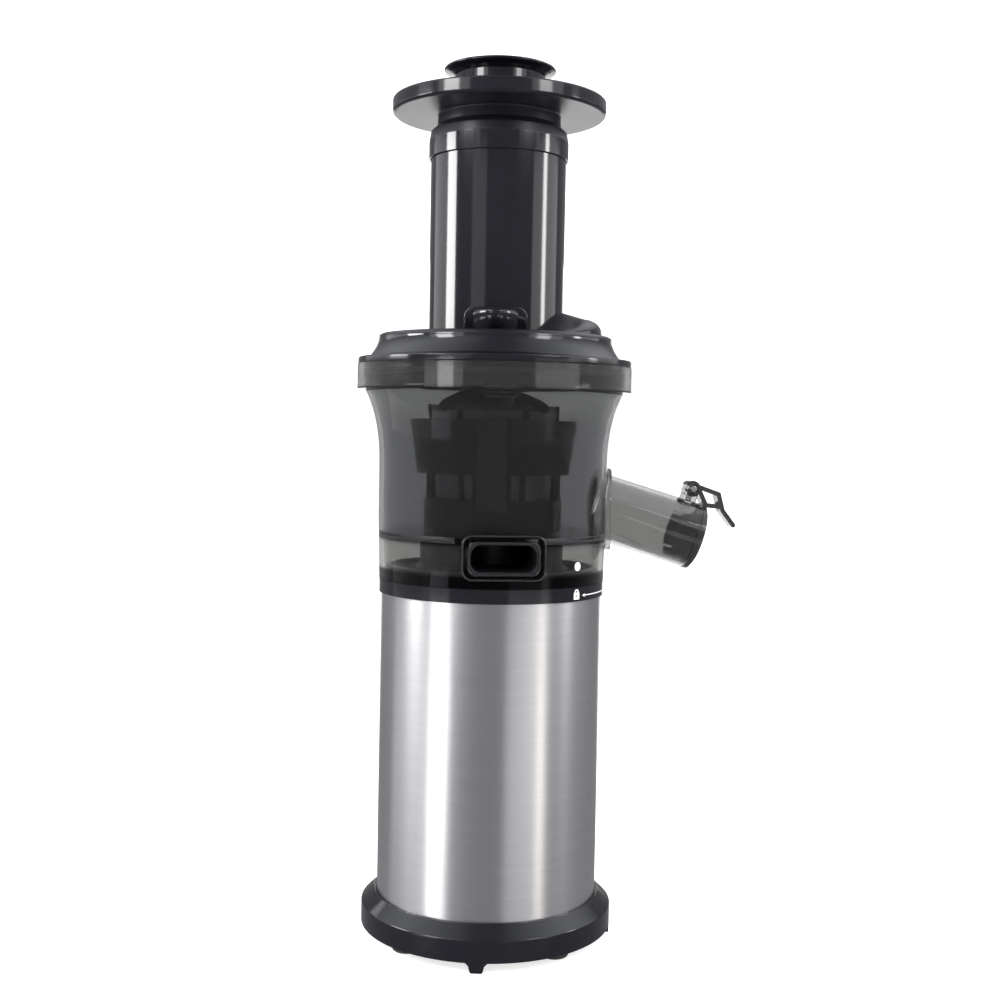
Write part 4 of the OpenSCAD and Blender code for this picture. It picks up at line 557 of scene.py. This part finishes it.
# Food tray: a round dish of black plastic with soft corners, whose collar fits over the feed tube.
# Its underside and neck are left as moulded, so they are less glossy than the rim.
tray_black, shade, feed = new_finish("tray_black_plastic", IOR=1.5)
height = shade.node("SeparateXYZ", {}, {"Vector": shade.node("TexCoord", {}, {}, 3)}, 2)
under = height.between(0.4070, 0.4075) * (1 - height.between(0.4206, 0.4212))
feed("Base Color", shade.noise(60).mix((0.0042, 0.0044, 0.0066), (0.0062, 0.0066, 0.0092)))
feed("Roughness", shade.noise(14, 4, (1, 1, 0.25)).between(0.35, 0.7) * 0.05 + 0.10 + under * 0.2)
turned("tray", [
    (35.6, 398, 0.5), (35.6, 407, 0.5), (34.7, 411.8, 0.8), (31.6, 414.6, 1.2), (31.2, 420.4, 0.8),
    (53.2, 420.4, 1.0), (54.4, 421.6, 0.8), (54.4, 427.4, 0.8), (53.8, 428.0, 0.4), (52.2, 428.0, 0.6),
    (51.0, 423.2, 1.5), (30.4, 423.2, 0.8), (29.2, 422.0, 0.5), (29.2, 413.0, 1.0), (34.8, 407, 0.5),
    (34.8, 398, 0.2)], tray_black, "tray", "gloss_black", "food_tray")

# Pusher and its cap, moulded in gloss black plastic: a closed tube that steps in to a neck, and a
# cap that plugs into the neck, with a lip that flares out of it.
turned("plunger", [
    (0, 309.4, 0), (26.8, 309.4, 1.5), (28, 310.6, 1.0), (28, 424.0, 1.0), (23, 427.0, 1.2),
    (23, 440.3, 0.3), (20.8, 440.3, 0), (20.8, 427, 0.8), (25.8, 424, 0.8), (25.8, 311.6, 0.8),
    (0, 311.6, 0)], gloss_black, "pusher", "gloss_black", "pusher")
turned("plunger_cap", [
    (0, 437.9, 0), (18.3, 437.9, 0), (18.3, 435.3, 0), (20.7, 435.3, 0.2), (20.7, 440.3, 0),
    (23, 440.3, 0.3), (25.0, 441.7, 2.0), (28.0, 442.75, 0.6), (28.6, 443.5, 0.5), (28.0, 444.35, 0.6),
    (25.0, 445.0, 1.0), (22.6, 443.8, 1.5), (9.2, 442.65, 2.0), (0, 442.46, 0)],
    gloss_black, "pusher", "gloss_black", "pusher_cap")

# The studio: a pale shell round the object whose floor runs up into its wall, in one surface.
# Tall softboxes stand at the sides of the camera and hang above the object.
paper, shade, feed = new_finish("white_paper", Roughness=0.9, Emission_Strength=0.72)
feed("Base Color", shade.noise(3).mix((0.55, 0.55, 0.55), (0.57, 0.57, 0.57)))
feed("Emission Color", shade.noise(3).mix((0.98, 0.98, 0.98), (1.0, 1.0, 1.0)))
reach = [(0, 0), (0.16, 0), (0.5, 0), (1.2, 0), (1.8, 0)]
for a in range(10, 91, 10):
    bend = math.radians(a)
    reach.append((1.8 + 0.9 * math.sin(bend), 0.9 - 0.9 * math.cos(bend)))
reach += [(2.7, 2.4), (2.2, 3.0), (0, 3.2)]
for name, start, sweep in (("floor_behind", 83.5 - 22.5, 45), ("floor_before", 83.5 + 22.5, 315)):
    work = bmesh.new()
    line = [work.verts.new((r, 0, h)) for r, h in reach]
    edges = [work.edges.new(pair) for pair in zip(line, line[1:])]
    bmesh.ops.rotate(work, verts=line, matrix=Matrix.Rotation(math.radians(start), 3, "Z"))
    bmesh.ops.spin(work, geom=line + edges, cent=(0, 0, 0), axis=(0, 0, 1), angle=math.radians(sweep),
                   steps=sweep // 5, use_merge=False)
    bmesh.ops.remove_doubles(work, verts=work.verts, dist=1e-5)
    bmesh.ops.recalc_face_normals(work, faces=work.faces)
    for face in work.faces:
        face.smooth = True
    shell = bpy.data.objects.new(name, bpy.data.meshes.new(name))
    work.to_mesh(shell.data)
    work.free()
    shell.data.materials.append(paper)
    shell.visible_glossy = shell.visible_shadow = name == "floor_behind"
    bpy.context.scene.collection.objects.link(shell)


def softbox(name, around, reach, low, high, wide, radiance, tint=(1, 1, 1)):
    """A box at an angle to the camera's left or right, reach metres out, from low to high."""
    way = math.radians(263.5 + around)
    lamp = bpy.data.objects.new(name, bpy.data.lights.new(name, "AREA"))
    lamp.data.shape, lamp.data.size, lamp.data.size_y = "RECTANGLE", wide, high - low
    lamp.data.color = tint
    lamp.data.energy = radiance * math.pi * wide * (high - low)
    spot = Vector((reach * math.cos(way), reach * math.sin(way), (low + high) / 2))
    lamp.location = spot
    goal = Vector((0, 0, spot.z))
    lamp.rotation_euler = (goal - spot).to_track_quat("-Z", "Y").to_euler()
    bpy.context.scene.collection.objects.link(lamp)


softbox("left_mid", -82.5, 1.15, 0.37, 0.66, 0.38, 20)
softbox("left_mid_halo", -111, 1.25, 0.36, 0.67, 0.9, 1.5)
softbox("right_mid", 86, 1.15, 0.37, 0.66, 0.16, 15)
softbox("right_mid_halo", 91, 1.25, 0.36, 0.67, 1.4, 1.6)
softbox("left_high", -50, 1.15, 0.67, 1.0, 0.34, 13)
softbox("left_high_halo", -48, 1.25, 0.67, 1.0, 0.8, 1.6)
softbox("right_high", 49, 1.15, 0.67, 1.0, 0.28, 8)
softbox("right_high_halo", 52, 1.25, 0.67, 1.0, 0.8, 1.4)
softbox("left_collar", -38, 1.15, 0.30, 0.35, 0.26, 5)
softbox("left_collar_halo", -40, 1.25, 0.30, 0.35, 0.72, 1.6)
softbox("right_collar", 52, 1.15, 0.30, 0.35, 0.8, 1.6)
softbox("left_low", -50.5, 1.15, -0.34, 0.03, 0.40, 3.8)
softbox("left_low_halo", -86, 1.25, -0.34, 0.03, 1.3, 0.42)
softbox("left_low_slope", -62, 1.2, -0.34, 0.03, 0.4, 0.5)
softbox("right_low", 54.5, 1.15, -0.34, 0.03, 0.15, 2.0, (1.0, 0.93, 0.84))
softbox("right_low_halo", 40, 1.25, -0.34, 0.03, 1.0, 0.9)
softbox("front_dim", -30, 1.3, 0.37, 0.66, 0.55, 0.8)

# Ceiling: a wide soft dome over the studio, brighter to both sides, that only shows in gloss. The
# camera doesn't see it and it throws no shadow.
ceiling, shade, feed = new_finish("ceiling_glow", Emission_Strength=1.0, Roughness=1.0)
place = shade.node("SeparateXYZ", {}, {"Vector": shade.node("TexCoord", {}, {}, 3)})
x, z = (Shade(shade.tree, place.socket.node.outputs[i]) for i in (0, 2))
glow = shade.sum("ABSOLUTE", x).between(0.3, 2.0) * z.between(0.9, 1.7)
feed("Emission Color", glow.mix((0.24, 0.24, 0.25), (2.3, 2.35, 2.5)))
feed("Base Color", shade.noise(3).mix((0.01, 0.01, 0.01), (0.02, 0.02, 0.02)))
work = bmesh.new()
line = []
for a in range(15, 91, 5):
    bend = math.radians(a)
    line.append(work.verts.new((2.4 * math.cos(bend), 0, 2.4 * math.sin(bend))))
edges = [work.edges.new(pair) for pair in zip(line, line[1:])]
bmesh.ops.spin(work, geom=line + edges, cent=(0, 0, 0), axis=(0, 0, 1), angle=2 * math.pi,
               steps=48, use_merge=True)
bmesh.ops.remove_doubles(work, verts=work.verts, dist=1e-5)
bmesh.ops.recalc_face_normals(work, faces=work.faces)
dome = bpy.data.objects.new("ceiling", bpy.data.meshes.new("ceiling"))
work.to_mesh(dome.data)
work.free()
dome.data.materials.append(ceiling)
dome.visible_camera = dome.visible_diffuse = dome.visible_transmission = dome.visible_shadow = False
bpy.context.scene.collection.objects.link(dome)
sky = bpy.data.worlds.new("studio")
sky.use_nodes = True
sky.node_tree.nodes["Background"].inputs["Color"].default_value = (0.96, 0.97, 1.0, 1)
sky.node_tree.nodes["Background"].inputs["Strength"].default_value = 0.25
bpy.context.scene.world = sky
bpy.context.scene.view_settings.view_transform = "Standard"
